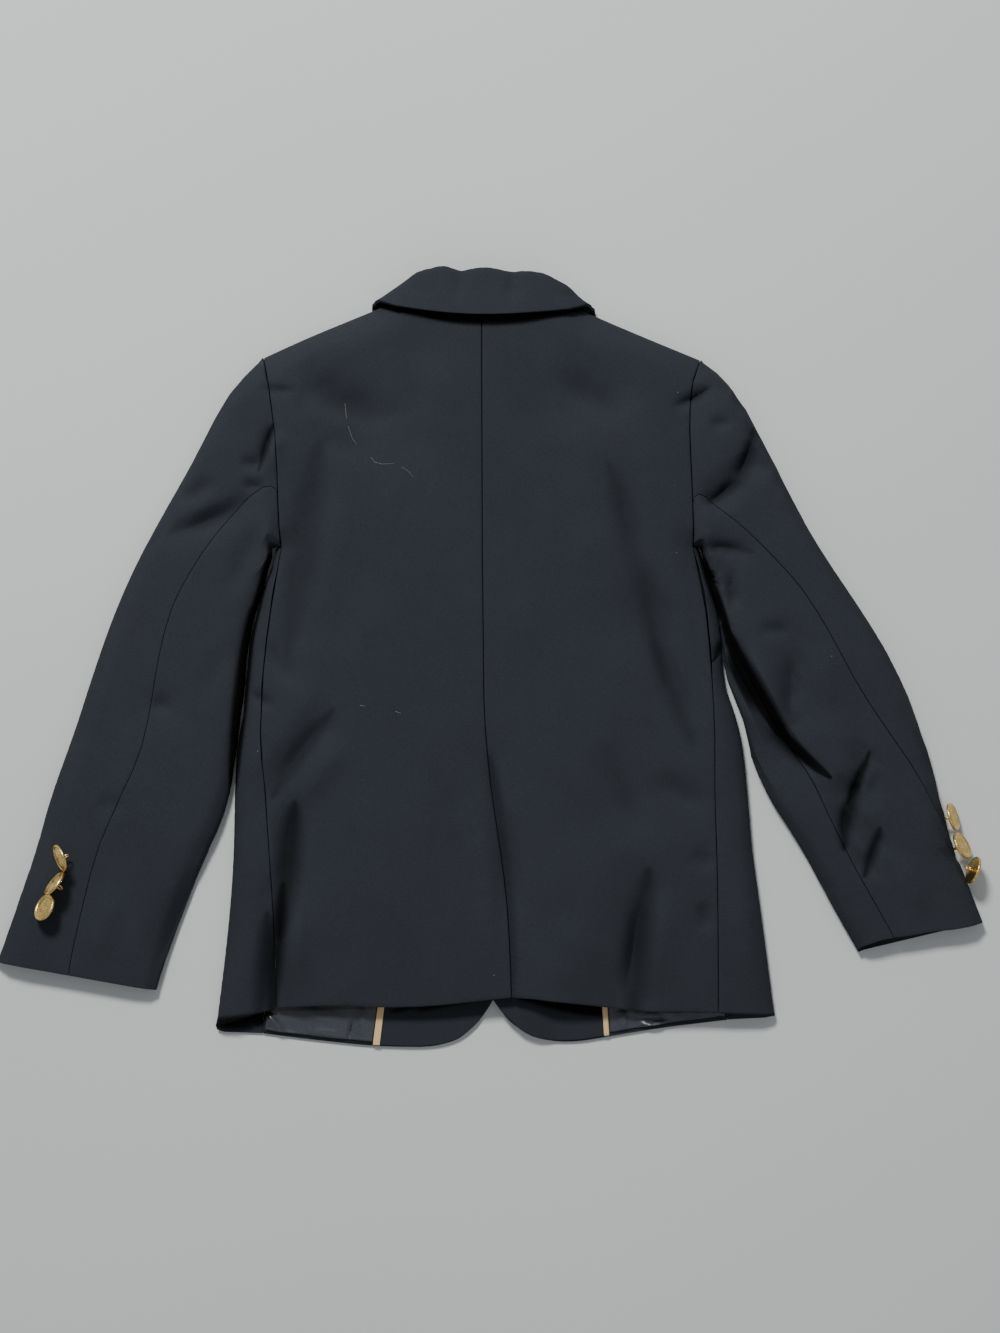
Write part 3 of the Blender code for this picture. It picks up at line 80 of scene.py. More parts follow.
# %% Tables of creases
Crease = namedtuple("Crease", "x0 y0 x1 y1 x2 y2 width height sharp")
TOP_CREASES = [
    # left back, side and hem
    Crease(293, 800, 288, 850, 284, 905, 6.5, -4.6, 0.3),
    Crease(284, 890, 276, 950, 271, 1012, 6.0, -4.6, 0.3),
    Crease(300, 880, 296, 940, 292, 1004, 9.0, 3.8, 0.0),
    Crease(332, 712, 300, 748, 274, 792, 5.0, -3.5, 0.2),
    Crease(345, 735, 318, 770, 290, 815, 9.0, 2.8, 0.0),
    Crease(322, 455, 303, 540, 292, 645, 9.0, -3.6, 0.0),
    Crease(350, 470, 330, 560, 322, 640, 13.0, 1.9, 0.0),
    Crease(250, 690, 262, 702, 280, 706, 4.0, -2.8, 0.4),
    Crease(262, 640, 280, 660, 300, 690, 6.0, -2.3, 0.1),
    # upper back
    Crease(292, 382, 345, 402, 408, 428, 11.0, -3.6, 0.0),
    Crease(300, 430, 342, 440, 395, 462, 10.0, -1.9, 0.0),
    Crease(545, 378, 590, 394, 640, 420, 11.0, -2.8, 0.0),
    Crease(612, 474, 632, 520, 641, 566, 7.5, -2.8, 0.1),
    Crease(641, 560, 656, 615, 672, 690, 8.0, -2.8, 0.0),
    Crease(660, 640, 678, 690, 694, 735, 6.0, -2.7, 0.1),
    Crease(590, 500, 606, 560, 622, 640, 14.0, 1.9, 0.0),
    Crease(430, 350, 436, 400, 430, 455, 16.0, 1.5, 0.0),
    # centre seam and vent
    Crease(490, 742, 496, 788, 503, 836, 4.5, -3.2, 0.5),
    Crease(503, 800, 512, 850, 516, 930, 7.0, -2.8, 0.1),
    Crease(478, 760, 488, 860, 494, 985, 7.0, 1.5, 0.0),
    # right back, side and hem
    Crease(646, 878, 634, 945, 624, 1006, 5.5, -5.1, 0.4),
    Crease(664, 880, 656, 945, 650, 1004, 10.0, 2.8, 0.0),
    Crease(600, 735, 622, 790, 642, 842, 9.0, -2.7, 0.0),
    Crease(650, 775, 680, 790, 712, 812, 7.0, -2.3, 0.1),
    Crease(690, 848, 702, 858, 716, 868, 5.0, -2.3, 0.2),
    Crease(700, 898, 705, 915, 706, 934, 5.0, -2.7, 0.2),
    Crease(724, 640, 720, 650, 711, 662, 3.0, -3.6, 0.5),
    Crease(735, 860, 742, 930, 752, 1005, 8.0, 1.9, 0.0),
    # left armhole and sleeve
    Crease(277, 424, 268, 442, 260, 478, 3.2, -5.1, 0.6),
    Crease(284, 430, 276, 450, 268, 486, 5.0, 2.3, 0.0),
    Crease(256, 391, 276, 392, 302, 394, 3.0, -2.7, 0.3),
    Crease(240, 462, 252, 464, 266, 468, 4.5, -2.8, 0.2),
    Crease(242, 487, 256, 486, 270, 489, 4.5, -2.7, 0.2),
    Crease(258, 497, 214, 520, 164, 540, 6.0, -4.0, 0.2),
    Crease(216, 478, 200, 492, 178, 507, 5.5, -2.7, 0.1),
    Crease(268, 520, 240, 556, 226, 610, 6.5, -2.3, 0.1),
    Crease(150, 700, 162, 706, 176, 705, 5.0, -2.3, 0.2),
    Crease(236, 640, 214, 668, 200, 712, 7.0, -1.5, 0.0),
    Crease(204, 860, 180, 910, 150, 988, 7.0, -3.5, 0.2),
    Crease(120, 880, 104, 925, 92, 975, 8.0, 1.9, 0.0),
    Crease(96, 800, 110, 806, 132, 804, 6.0, -1.5, 0.1),
    # the deep fold that runs down the twisted right sleeve
    Crease(699, 552, 709, 590, 727, 634, 4.0, -2.4, 0.2),
    Crease(720, 634, 742, 690, 774, 728, 5.6, -9.0, 0.4),
    Crease(758, 712, 786, 752, 828, 778, 4.6, -6.5, 0.4),
    Crease(742, 640, 766, 690, 792, 728, 8.0, 4.3, 0.0),
    # right armhole and sleeve
    Crease(668, 410, 690, 403, 716, 385, 3.6, -4.6, 0.5),
    Crease(706, 427, 718, 424, 732, 426, 4.0, -2.3, 0.2),
    Crease(752, 432, 748, 462, 734, 481, 3.8, -4.9, 0.6),
    Crease(735, 480, 718, 499, 700, 508, 3.6, -5.0, 0.5),
    Crease(700, 548, 722, 547, 748, 552, 4.0, -3.2, 0.3),
    Crease(727, 568, 731, 590, 736, 612, 4.0, -3.2, 0.2),
    Crease(752, 632, 772, 628, 794, 632, 5.0, -2.3, 0.1),
    Crease(789, 646, 792, 684, 788, 724, 6.0, -3.6, 0.2),
    Crease(812, 640, 826, 676, 832, 716, 8.0, 1.5, 0.0),
    Crease(863, 757, 858, 780, 846, 804, 3.8, -5.0, 0.6),
    Crease(846, 798, 842, 820, 844, 844, 3.4, -3.8, 0.5),
    Crease(879, 832, 873, 852, 864, 872, 4.0, -3.2, 0.4),
    Crease(876, 768, 875, 784, 869, 802, 4.0, -1.9, 0.2),
    Crease(900, 850, 912, 884, 924, 922, 7.0, 1.9, 0.0),
    Crease(806, 700, 836, 746, 858, 800, 9.0, 1.9, 0.0),
    # collar
    Crease(459, 262, 462, 285, 458, 314, 5.0, -1.5, 0.2),
    Crease(512, 266, 514, 290, 510, 314, 5.0, -1.5, 0.2),
    Crease(400, 290, 420, 296, 440, 297, 4.0, -0.7, 0.1),
    Crease(548, 296, 564, 298, 580, 304, 4.0, -0.7, 0.1),
]
UNDER_CREASES = [
    Crease(300, 840, 320, 760, 330, 690, 9.0, -0.9, 0.1),
    Crease(340, 560, 372, 520, 420, 500, 8.0, -0.7, 0.1),
    Crease(640, 620, 612, 560, 588, 520, 8.0, -0.8, 0.1),
    Crease(660, 900, 640, 830, 642, 760, 10.0, -0.9, 0.0),
    Crease(405, 940, 420, 880, 418, 820, 9.0, -0.6, 0.0),
    Crease(180, 760, 205, 640, 238, 560, 9.0, -0.8, 0.1),
    Crease(120, 900, 150, 850, 160, 800, 6.0, -0.7, 0.2),
    Crease(900, 880, 868, 800, 850, 740, 8.0, -0.8, 0.1),
    Crease(780, 620, 752, 560, 728, 520, 7.0, -0.9, 0.2),
]
LINING_CREASES = [
    Crease(264, 1010, 274, 1022, 286, 1036, 2.6, 3.2, 0.2),
    Crease(264, 1031, 284, 1035, 308, 1042, 2.6, 2.4, 0.3),
    Crease(290, 1008, 322, 1022, 352, 1018, 4.5, 1.5, 0.0),
    Crease(300, 1034, 330, 1030, 350, 1040, 3.6, 1.4, 0.0),
    Crease(352, 1018, 351, 1028, 348, 1046, 1.9, -1.9, 0.5),
    Crease(360, 1004, 364, 1020, 362, 1044, 3.0, 1.2, 0.0),
    Crease(634, 1018, 650, 1002, 672, 1018, 2.4, 3.4, 0.2),
    Crease(634, 1020, 655, 1032, 672, 1018, 2.2, 2.8, 0.2),
    Crease(664, 1014, 688, 1011, 712, 1015, 2.6, 2.4, 0.1),
    Crease(620, 1008, 626, 1020, 622, 1036, 3.0, 1.6, 0.1),
    Crease(716, 1006, 722, 1020, 720, 1034, 3.4, -1.2, 0.2),
    Crease(735, 1006, 738, 1018, 740, 1030, 3.0, 1.1, 0.0),
]
print("creases", len(TOP_CREASES), "above,", len(UNDER_CREASES), "below,", len(LINING_CREASES), "in the lining")

# %% Height of the creases at each point
CREASE_STEPS = 9
FADE = 2.4                 # a crease reaches its full height at 1 / FADE of its length
STEEP_WIDTH = 0.5          # the width of its sharp part, as a share of the row's, and how far that leans
STEEP_LEAN = 0.35


def crease_height(table, x, y):
    """Height that a table of creases adds at points x, y (arrays, in mm)."""
    total = np.zeros_like(x)
    for row in table:
        points = corners_of(row)
        best = np.full_like(x, 1e9)
        along = np.zeros_like(x)
        side = np.zeros_like(x)
        for step in range(CREASE_STEPS):
            ends = [on_curve(points, share) for share in (step / CREASE_STEPS, (step + 1) / CREASE_STEPS)]
            run = ends[1] - ends[0]
            part = ((x - ends[0][0]) * run[0] + (y - ends[0][1]) * run[1]) / run.dot(run)
            held = np.clip(part, 0.0, 1.0)
            off_x = x - ends[0][0] - held * run[0]
            off_y = y - ends[0][1] - held * run[1]
            off = np.hypot(off_x, off_y)
            near = off < best
            best = np.where(near, off, best)
            along = np.where(near, (step + held) / CREASE_STEPS, along)
            side = np.where(near, np.sign(run[0] * off_y - run[1] * off_x), side)
        soft = np.exp(-((best / row.width) ** 2))
        steep = np.exp(-best / (STEEP_WIDTH * row.width * (1.0 - STEEP_LEAN * side)))
        fade = ease(along * FADE) * ease((1.0 - along) * FADE)
        total += row.height * fade * ((1.0 - row.sharp) * soft + row.sharp * steep)
    return total


HOLLOW_FROM = 0.8          # mm deep, where a crease starts to hold its own shadow
HOLLOW_FULL = 8.0          # mm deep, where it holds most of it
HOLLOW_MOST = 0.85


def hollow(height):
    """Share of its own shadow that a crease of a height holds, 0 on a ridge."""
    return HOLLOW_MOST * ease((-height - HOLLOW_FROM) / (HOLLOW_FULL - HOLLOW_FROM))


# Places where cloth lies in the shadow of cloth: the nodes, a line in the photo's pixels, its half width
# in mm, how much of the light is gone, and 1 for a soft edge
Shade = namedtuple("Shade", "nodes x0 y0 x1 y1 x2 y2 width share soft")
SHADES = [
    # below the collar, and inside the hem
    Shade("back", 380, 308, 484, 330, 588, 309, 6.0, 0.97, 0),
    Shade("front side lining", 210, 1022, 240, 1024, 272, 1014, 5.0, 0.93, 0),
    Shade("front facing", 376, 1011, 440, 1009, 488, 995, 2.0, 0.9, 0),
    Shade("front facing", 612, 1014, 566, 1007, 506, 990, 5.0, 0.95, 0),
    Shade("lining", 268, 1011, 320, 1008, 382, 1008, 1.5, 0.8, 0),
    Shade("lining", 608, 1012, 680, 1012, 746, 1010, 1.5, 0.8, 0),
    Shade("sleeve_right", 852, 955, 905, 947, 978, 932, 3.2, 0.97, 0),
    # between the sleeves and the body
    Shade("sleeve_left side_left", 275, 546, 247, 636, 240, 700, 3.2, 0.97, 0),
    Shade("sleeve_left side_left", 254, 606, 240, 690, 232, 806, 5.2, 0.97, 0),
    Shade("side_right sleeve_right", 698, 548, 712, 590, 731, 640, 3.0, 0.97, 0),
    Shade("side_right", 726, 643, 720, 652, 711, 662, 1.6, 0.85, 0),
    Shade("sleeve_right", 722, 622, 750, 694, 790, 742, 5.6, 0.98, 0),
    Shade("sleeve_right", 766, 716, 794, 752, 830, 778, 4.0, 0.92, 0),
    # folds of the back and sides
    Shade("back", 296, 800, 290, 860, 279, 940, 10.0, 0.66, 1),
    Shade("back side", 284, 880, 277, 950, 271, 1024, 6.0, 0.8, 1),
    Shade("side_left", 268, 910, 264, 980, 260, 1030, 8.0, 0.5, 1),
    Shade("back", 648, 866, 636, 945, 632, 1022, 11.0, 0.45, 1),
    Shade("back_right", 488, 752, 507, 842, 514, 1000, 6.0, 0.42, 1),
    Shade("back", 335, 708, 302, 748, 272, 798, 6.5, 0.35, 1),
    Shade("back", 606, 462, 636, 540, 664, 690, 9.0, 0.22, 1),
    Shade("back", 652, 640, 672, 690, 692, 744, 9.0, 0.22, 1),
    Shade("back", 322, 440, 304, 540, 288, 660, 11.0, 0.22, 1),
    # folds of the sleeves
    Shade("sleeve_right", 868, 750, 858, 780, 845, 804, 3.6, 0.85, 1),
    Shade("sleeve_right", 858, 782, 842, 812, 842, 850, 6.5, 0.75, 1),
    Shade("sleeve_right", 878, 826, 873, 850, 862, 876, 5.0, 0.7, 1),
    Shade("sleeve_right", 752, 428, 750, 474, 708, 504, 6.4, 0.55, 1),
    Shade("sleeve_left", 276, 424, 268, 442, 260, 474, 2.6, 0.6, 1),
    Shade("sleeve_right", 700, 548, 722, 545, 752, 553, 4.0, 0.3, 1),
]
SHADE_STEPS = 48
SOFT_REACH = 1.3           # half widths to where a soft edge ends
HARD_INSIDE = 0.6          # half widths to where a firm edge starts, and how wide it is


def shade(node, x, y):
    """Share of the light that is gone at points x, y of a node; each line runs thin towards its ends."""
    gone = np.zeros_like(x)
    for row in SHADES:
        if not any(node.startswith(word) for word in row.nodes.split()):
            continue
        points = corners_of(row)
        near = np.full_like(x, 1e9)
        for step in range(1, SHADE_STEPS):
            share = step / SHADE_STEPS
            spot = on_curve(points, share)
            width = row.width * math.sqrt(4 * share * (1 - share))
            near = np.minimum(near, np.hypot(x - spot[0], y - spot[1]) / width)
        edge = ease(near / SOFT_REACH) if row.soft else ease((near - HARD_INSIDE) / HARD_INSIDE)
        gone = 1.0 - (1.0 - gone) * (1.0 - row.share * (1.0 - edge))
    return gone


SLACK_SIZE = 46.0          # mm between the soft hollows of the lying cloth
SLACK_HEIGHT = 0.55


def slack_height(x, y):
    """Soft unevenness of cloth that lies loose."""
    out = np.empty_like(x)
    for k in range(len(x)):
        place = Vector((x[k] / SLACK_SIZE, y[k] / (1.6 * SLACK_SIZE), 0.7))
        out[k] = noise.noise(place) + 0.35 * noise.noise(place * 2.7)
    return out * SLACK_HEIGHT


# %% [markdown]
# ## Cloth pieces
# A piece is copied from its node, its rim rounded, its faces cut until no edge is longer than a given size,
# and smoothed. Its outer and inner face move together, so the cloth keeps its thickness.

# %% Cut finer, smooth and crease
RIM_ANGLE = math.radians(55)
RIM_ROUND = 0.75           # mm that a wall's edge is rounded by
RIM_KEEP = 1.1             # mm from the rim, within which nothing is smoothed
RIM_STEP = 0.7
FLAT_EDGE = 7.0            # the longest edge in mm of cloth that lies flat, and how high that reaches
FLAT_BELOW = 2.6
DEEP = -3.2                # creases at least this deep are cut finer, to FINE_SHARE of the edge
FINE_SHARE = 0.5
FINE_REACH = 8.0
FINE_STEPS = 16
FINE_ABOVE = 3.0
CUT_ROUNDS = 9


def fine_places():
    """Places each few mm along the deep creases, where the mesh is cut finest."""
    spots = []
    for row in TOP_CREASES:
        if row.height > DEEP:
            continue
        points = corners_of(row)
        spots += [on_curve(points, step / FINE_STEPS) for step in range(FINE_STEPS + 1)]
    tree = KDTree(len(spots))
    for k, spot in enumerate(spots):
        tree.insert((spot[0], spot[1], 0.0), k)
    tree.balance()
    return tree


FINE = fine_places()


def longest(line, edge):
    """The longest that an edge may be: finer by a deep crease, coarser flat on the floor."""
    a, b = (vert.co for vert in line.verts)
    if a.z < FLAT_BELOW and b.z < FLAT_BELOW:
        return max(FLAT_EDGE, edge)
    middle = (a + b) / 2
    near = FINE.find((middle.x, middle.y, 0.0))[2] < FINE_REACH and middle.z > FINE_ABOVE
    return edge * FINE_SHARE if near else edge


def cut_finer(mesh, edge):
    """Splits every edge that is longer than it may be."""
    for _ in range(CUT_ROUNDS):
        long = [line for line in mesh.edges if line.calc_length() > longest(line, edge)]
        if not long:
            break
        bmesh.ops.subdivide_edges(mesh, edges=long, cuts=1)
        bmesh.ops.triangulate(mesh, faces=[face for face in mesh.faces if len(face.verts) > 3])


THIN_EDGE = 0.005          # mm
FLAP_ROUNDS = 6


def drop_flaps(mesh):
    """Removes slivers, faces on the same corners and faces on a crowded edge, then closes the holes."""
    bmesh.ops.dissolve_degenerate(mesh, dist=THIN_EDGE, edges=mesh.edges)
    bmesh.ops.triangulate(mesh, faces=[face for face in mesh.faces if len(face.verts) > 3])
    for _ in range(FLAP_ROUNDS):
        mesh.faces.index_update()
        pairs = {}
        for face in mesh.faces:
            pairs.setdefault(frozenset(face.verts), []).append(face)
        flaps = {face for faces in pairs.values() if len(faces) > 1 for face in faces}
        if not flaps:
            flaps = {face for line in mesh.edges if len(line.link_faces) > 2 for face in line.link_faces}
        if flaps:
            bmesh.ops.delete(mesh, geom=sorted(flaps, key=lambda face: face.index), context="FACES")
        ends = [line for line in mesh.edges if len(line.link_faces) == 1]
        if ends:
            made = bmesh.ops.holes_fill(mesh, edges=ends, sides=0)["faces"]
            bmesh.ops.triangulate(mesh, faces=made)
        if not flaps and not ends:
            break


def rim_points(mesh):
    """Points each RIM_STEP along the edges where a wall ends."""
    found = []
    for line in mesh.edges:
        if len(line.link_faces) == 2 and line.calc_face_angle(0.0) > RIM_ANGLE:
            a, b = (vert.co for vert in line.verts)
            steps = max(int((b - a).length / RIM_STEP), 1)
            found += [a.lerp(b, step / steps) for step in range(steps + 1)]
    return found


# Small shifts of an outline: the nodes, a place in the photo's pixels, the shift and its reach in mm,
# and the lowest height that it moves
Nudge = namedtuple("Nudge", "nodes px py dx dy reach low")
NUDGES = [
    Nudge("collar", 420, 274, -0.6, 1.6, 7.0, -1.0),
    Nudge("collar", 444, 266, 0.0, 1.4, 7.0, -1.0),
    Nudge("collar", 462, 272, 0.0, -1.0, 4.0, -1.0),
    Nudge("collar", 496, 268, 0.0, 0.8, 7.0, -1.0),
    Nudge("collar", 513, 273, 0.0, -0.8, 4.0, -1.0),
    Nudge("collar", 545, 276, 2.0, 2.4, 9.0, -1.0),
    Nudge("collar", 566, 291, 1.4, 1.6, 8.0, -1.0),
    Nudge("sleeve_right", 705, 566, -1.4, 0.0, 11.0, -1.0),
    Nudge("sleeve_right", 714, 594, -1.5, 0.0, 14.0, -1.0),
    Nudge("sleeve_right", 722, 645, -0.9, 0.0, 14.0, -1.0),
    Nudge("side_right", 704, 586, 1.1, 0.0, 10.0, -1.0),
    Nudge("side_right", 712, 610, 0.9, 0.0, 12.0, -1.0),
    Nudge("side_right", 718, 650, 0.8, 0.0, 14.0, -1.0),
    Nudge("side_left", 262, 590, -0.8, 0.0, 12.0, -1.0),
    Nudge("side_left", 250, 635, -0.7, 0.0, 14.0, -1.0),
    Nudge("side_left", 244, 690, -0.6, 0.0, 16.0, -1.0),
    Nudge("side_left", 238, 750, -0.5, 0.0, 16.0, -1.0),
    Nudge("side_right", 700, 566, 0.7, 0.0, 6.0, -1.0),
    Nudge("sleeve_left", 268, 558, 2.0, 0.0, 7.0, -1.0),
    Nudge("sleeve_left", 258, 590, 0.9, 0.0, 12.0, -1.0),
    Nudge("sleeve_left", 248, 630, 0.9, 0.0, 14.0, -1.0),
    Nudge("sleeve_left", 242, 680, 1.1, 0.0, 16.0, -1.0),
    Nudge("sleeve_left", 236, 740, 1.0, 0.0, 18.0, -1.0),
    Nudge("sleeve_right", 884, 950, -0.6, 4.6, 20.0, 6.5),
    Nudge("sleeve_right", 930, 940, -0.4, 2.0, 14.0, 6.5),
]


def nudged(node, x, y, z):
    shift_x, shift_y = np.zeros_like(x), np.zeros_like(y)
    for row in NUDGES:
        if node.startswith(row.nodes):
            at_x, at_y = from_photo(row.px, row.py)
            pull = np.exp(-((x - at_x) ** 2 + (y - at_y) ** 2) / row.reach ** 2) * (z > row.low)
            shift_x += row.dx * pull
            shift_y += row.dy * pull
    return x + shift_x, y + shift_y


CORNER_REACH = 11.0
CUTAWAY = ("front_left", "front_right", "facing_left", "facing_right")
CUTAWAY_LEFT, CUTAWAY_RIGHT, CUTAWAY_TOP = 405, 590, 990      # pixels of the photo
CUTAWAY_BLEND, CUTAWAY_BLEND_TOP = 20, 8


def round_outline(mesh, points):
    """Shifts that turn the cutaway's facets into one curve, for each vertex near it."""
    flat = [Vector((point.x, point.y, 0.0)) for point in points]
    tree = KDTree(len(flat))
    for k, point in enumerate(flat):
        tree.insert(point, k)
    tree.balance()
    target = {}
    for k, point in enumerate(flat):
        px, py = point.x / PIXEL + PHOTO_X, PHOTO_Y - point.y / PIXEL
        if py < CUTAWAY_TOP or not CUTAWAY_LEFT < px < CUTAWAY_RIGHT:
            continue
        around = tree.find_range(point, CORNER_REACH)
        total, weight = Vector((0, 0, 0)), 0.0
        for spot, _, reach in around:
            share = 1.0 - reach / CORNER_REACH
            total += spot * share
            weight += share
        across = min(px - CUTAWAY_LEFT, CUTAWAY_RIGHT - px) / CUTAWAY_BLEND
        inside = min(across, (py - CUTAWAY_TOP) / CUTAWAY_BLEND_TOP, 1.0)
        target[k] = (total / weight - point) * inside
    if not target:
        return
    for vert in mesh.verts:
        place = Vector((vert.co.x, vert.co.y, 0.0))
        _, k, reach = tree.find(place)
        if k in target and reach < CORNER_REACH:
            vert.co += target[k] * (1.0 - reach / CORNER_REACH)


# Places where the finished cloth is eased once more: the nodes, a place in the photo's pixels, its reach in mm
Eased = namedtuple("Eased", "nodes px py reach rounds")
EASED = [
    Eased("sleeve_right", 716, 576, 9.0, 16),
]


def ease_places(node, made):
    """Smooths the finished mesh near the places in the table."""
    for row in EASED:
        if not node.startswith(row.nodes):
            continue
        at = Vector(from_photo(row.px, row.py)) * MM
        mesh = bmesh.new()
        mesh.from_mesh(made)
        upper = [vert for vert in mesh.verts if vert.co.z > FINE_ABOVE * MM]
        near = [vert for vert in upper if (vert.co.xy - at).length < row.reach * MM]
        for _ in range(row.rounds):
            bmesh.ops.smooth_vert(mesh, verts=near, factor=0.5, use_axis_x=True, use_axis_y=True, use_axis_z=True)
        mesh.to_mesh(made)
        mesh.free()


TOP_FROM = 3.0             # mm above the floor, where cloth starts to count as the upper layer
TOP_BLEND = 5.0
MERGE = 0.02


def cloth_piece(node, edge, smooth, tables):
    """One finished piece from its node: edge is its longest edge in mm, smooth the number of easings."""
    mesh = bmesh.new()
    mesh.from_mesh(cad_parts[node].data)
    for vert in mesh.verts:
        vert.co /= MM
    bmesh.ops.remove_doubles(mesh, verts=mesh.verts, dist=MERGE)
    points = rim_points(mesh)
    rim = [line for line in mesh.edges if line.calc_face_angle(0.0) > RIM_ANGLE]
    bmesh.ops.bevel(
        mesh, geom=rim, offset=RIM_ROUND, offset_type="OFFSET", affect="EDGES",
        segments=2, profile=0.5, clamp_overlap=True, material=-1,
    )
    bmesh.ops.triangulate(mesh, faces=mesh.faces)
    drop_flaps(mesh)
    cut_finer(mesh, edge)
    drop_flaps(mesh)
    tree = KDTree(len(points))
    for k, point in enumerate(points):
        tree.insert(point, k)
    tree.balance()
    inside = [vert for vert in mesh.verts if tree.find(vert.co)[2] > RIM_KEEP]
    for _ in range(smooth):
        bmesh.ops.smooth_vert(mesh, verts=inside, factor=0.5, use_axis_x=True, use_axis_y=True, use_axis_z=True)
    if node in CUTAWAY:
        round_outline(mesh, points)
    made = bpy.data.meshes.new(node + "_cloth")
    mesh.to_mesh(made)
    mesh.free()
    place = np.zeros(len(made.vertices) * 3)
    made.vertices.foreach_get("co", place)
    place = place.reshape(-1, 3)
    x, y, z = place[:, 0].copy(), place[:, 1].copy(), place[:, 2].copy()
    above = ease((z - TOP_FROM) / TOP_BLEND)
    x, y = nudged(node, x, y, z)
    place[:, 0], place[:, 1] = x, y
    gone = shade(node, x, y)
    if "top" in tables:
        height = crease_height(TOP_CREASES, x, y)
        gone = np.maximum(gone, above * hollow(height))
        z += above * height + above * slack_height(x, y)
    if "under" in tables:
        z -= (1.0 - above) * crease_height(UNDER_CREASES, x, y)
    if "lining" in tables:
        z += crease_height(LINING_CREASES, x, y)
    place[:, 2] = np.maximum(z, 0.0)
    made.vertices.foreach_set("co", (place * MM).ravel())
    made.attributes.new("gone", "FLOAT", "POINT").data.foreach_set("value", gone)
    ease_places(node, made)
    made.update()
    made.shade_smooth()
    piece = bpy.data.objects.new(node + "_cloth", made)
    bpy.context.scene.collection.objects.link(piece)
    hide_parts(node)
    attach(piece, "root")
    return piece


# %% Make the cloth pieces
ClothRow = namedtuple("ClothRow", "node edge smooth tables slot")
QUICK = 1.0
CLOTH = [
    ClothRow("back_left", 3.3, 9, ("top",), "navy_worsted"),
    ClothRow("back_right", 3.3, 9, ("top",), "navy_worsted"),
    ClothRow("vent_underlap", 5.0, 2, (), "navy_worsted"),
    ClothRow("side_left", 3.0, 7, ("top", "under"), "navy_worsted"),
    ClothRow("side_right", 3.0, 7, ("top", "under"), "navy_worsted"),
    ClothRow("front_left", 5.5, 3, ("under",), "navy_worsted"),
    ClothRow("front_right", 5.5, 3, ("under",), "navy_worsted"),
    ClothRow("collar", 2.0, 8, ("top",), "navy_worsted"),
    ClothRow("sleeve_left_upper", 3.2, 7, ("top", "under"), "navy_worsted"),
    ClothRow("sleeve_left_under", 3.2, 7, ("top", "under"), "navy_worsted"),
    ClothRow("sleeve_right_upper", 3.0, 6, ("top", "under"), "navy_worsted"),
    ClothRow("sleeve_right_under", 3.0, 6, ("top", "under"), "navy_worsted"),
    ClothRow("facing_left", 3.0, 3, ("under",), "navy_worsted"),
    ClothRow("facing_right", 3.0, 3, ("under",), "navy_worsted"),
    ClothRow("lining_left", 2.0, 3, ("under", "lining"), "grey_satin_lining"),
    ClothRow("lining_right", 2.0, 3, ("under", "lining"), "grey_satin_lining"),
    ClothRow("piping_left", 2.0, 2, ("under",), "gold_piping"),
    ClothRow("piping_right", 2.0, 2, ("under",), "gold_piping"),
]
cloth = {}
for row in CLOTH:
    cloth[row.node] = cloth_piece(row.node, row.edge * QUICK, row.smooth, row.tables)
    half = sum(face.area for face in cloth[row.node].data.polygons) / 2
    print(row.node, len(cloth[row.node].data.polygons), "faces, half surface", round(half, 5), "m2")

# %% [markdown]
# ## Seam allowances
# The panels are sewn right sides together and pressed open, so a strip lies below the centre back seam and
# below each side-back seam.

# %% Strips below the seams
def surface_tree(piece):
    mesh = bmesh.new()
    mesh.from_mesh(piece.data)
    tree = BVHTree.FromBMesh(mesh)
    mesh.free()
    return tree


def new_piece(name, mesh):
    made = bpy.data.meshes.new(name)
    bmesh.ops.recalc_face_normals(mesh, faces=mesh.faces)
    mesh.to_mesh(made)
    mesh.free()
    made.shade_smooth()
    piece = bpy.data.objects.new(name, made)
    bpy.context.scene.collection.objects.link(piece)
    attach(piece, "root")
    return piece


BACK_TREES = [surface_tree(cloth["back_left"]), surface_tree(cloth["back_right"])]
SIDE_TREES = [surface_tree(cloth[name]) for name in ("back_left", "side_left", "back_right", "side_right")]
LEFT_LINE = [(273, 990), (272, 900), (270, 850), (265.5, 785), (262, 740), (262.5, 710), (268, 640), (275, 575)]
RIGHT_LINE = [(717, 980), (717, 900), (716, 850), (714, 785), (714, 740), (713, 710), (708, 640), (700, 590)]
CENTRE_LINE = [(482.0, 308.5), (482.5, 321), (484, 420), (484.5, 560), (484.5, 700), (485.5, 735)]


START_HEIGHT = 0.012       # m, for the first place of a strip if no wall is above it
RAY_START = 0.0022         # m, between the lower and the upper layer
STRIP_GAP = 0.0006
STRIP_STEPS = 60
STRIP_THICK = 0.6 * MM


def inner_height(trees, x, y):
    """Height of the walls' inner face at x, y, seen from the middle layer, in metres."""
    found = [tree.ray_cast(Vector((x, y, RAY_START)), Vector((0, 0, 1)))[0] for tree in trees]
    return min((hit.z for hit in found if hit is not None), default=None)


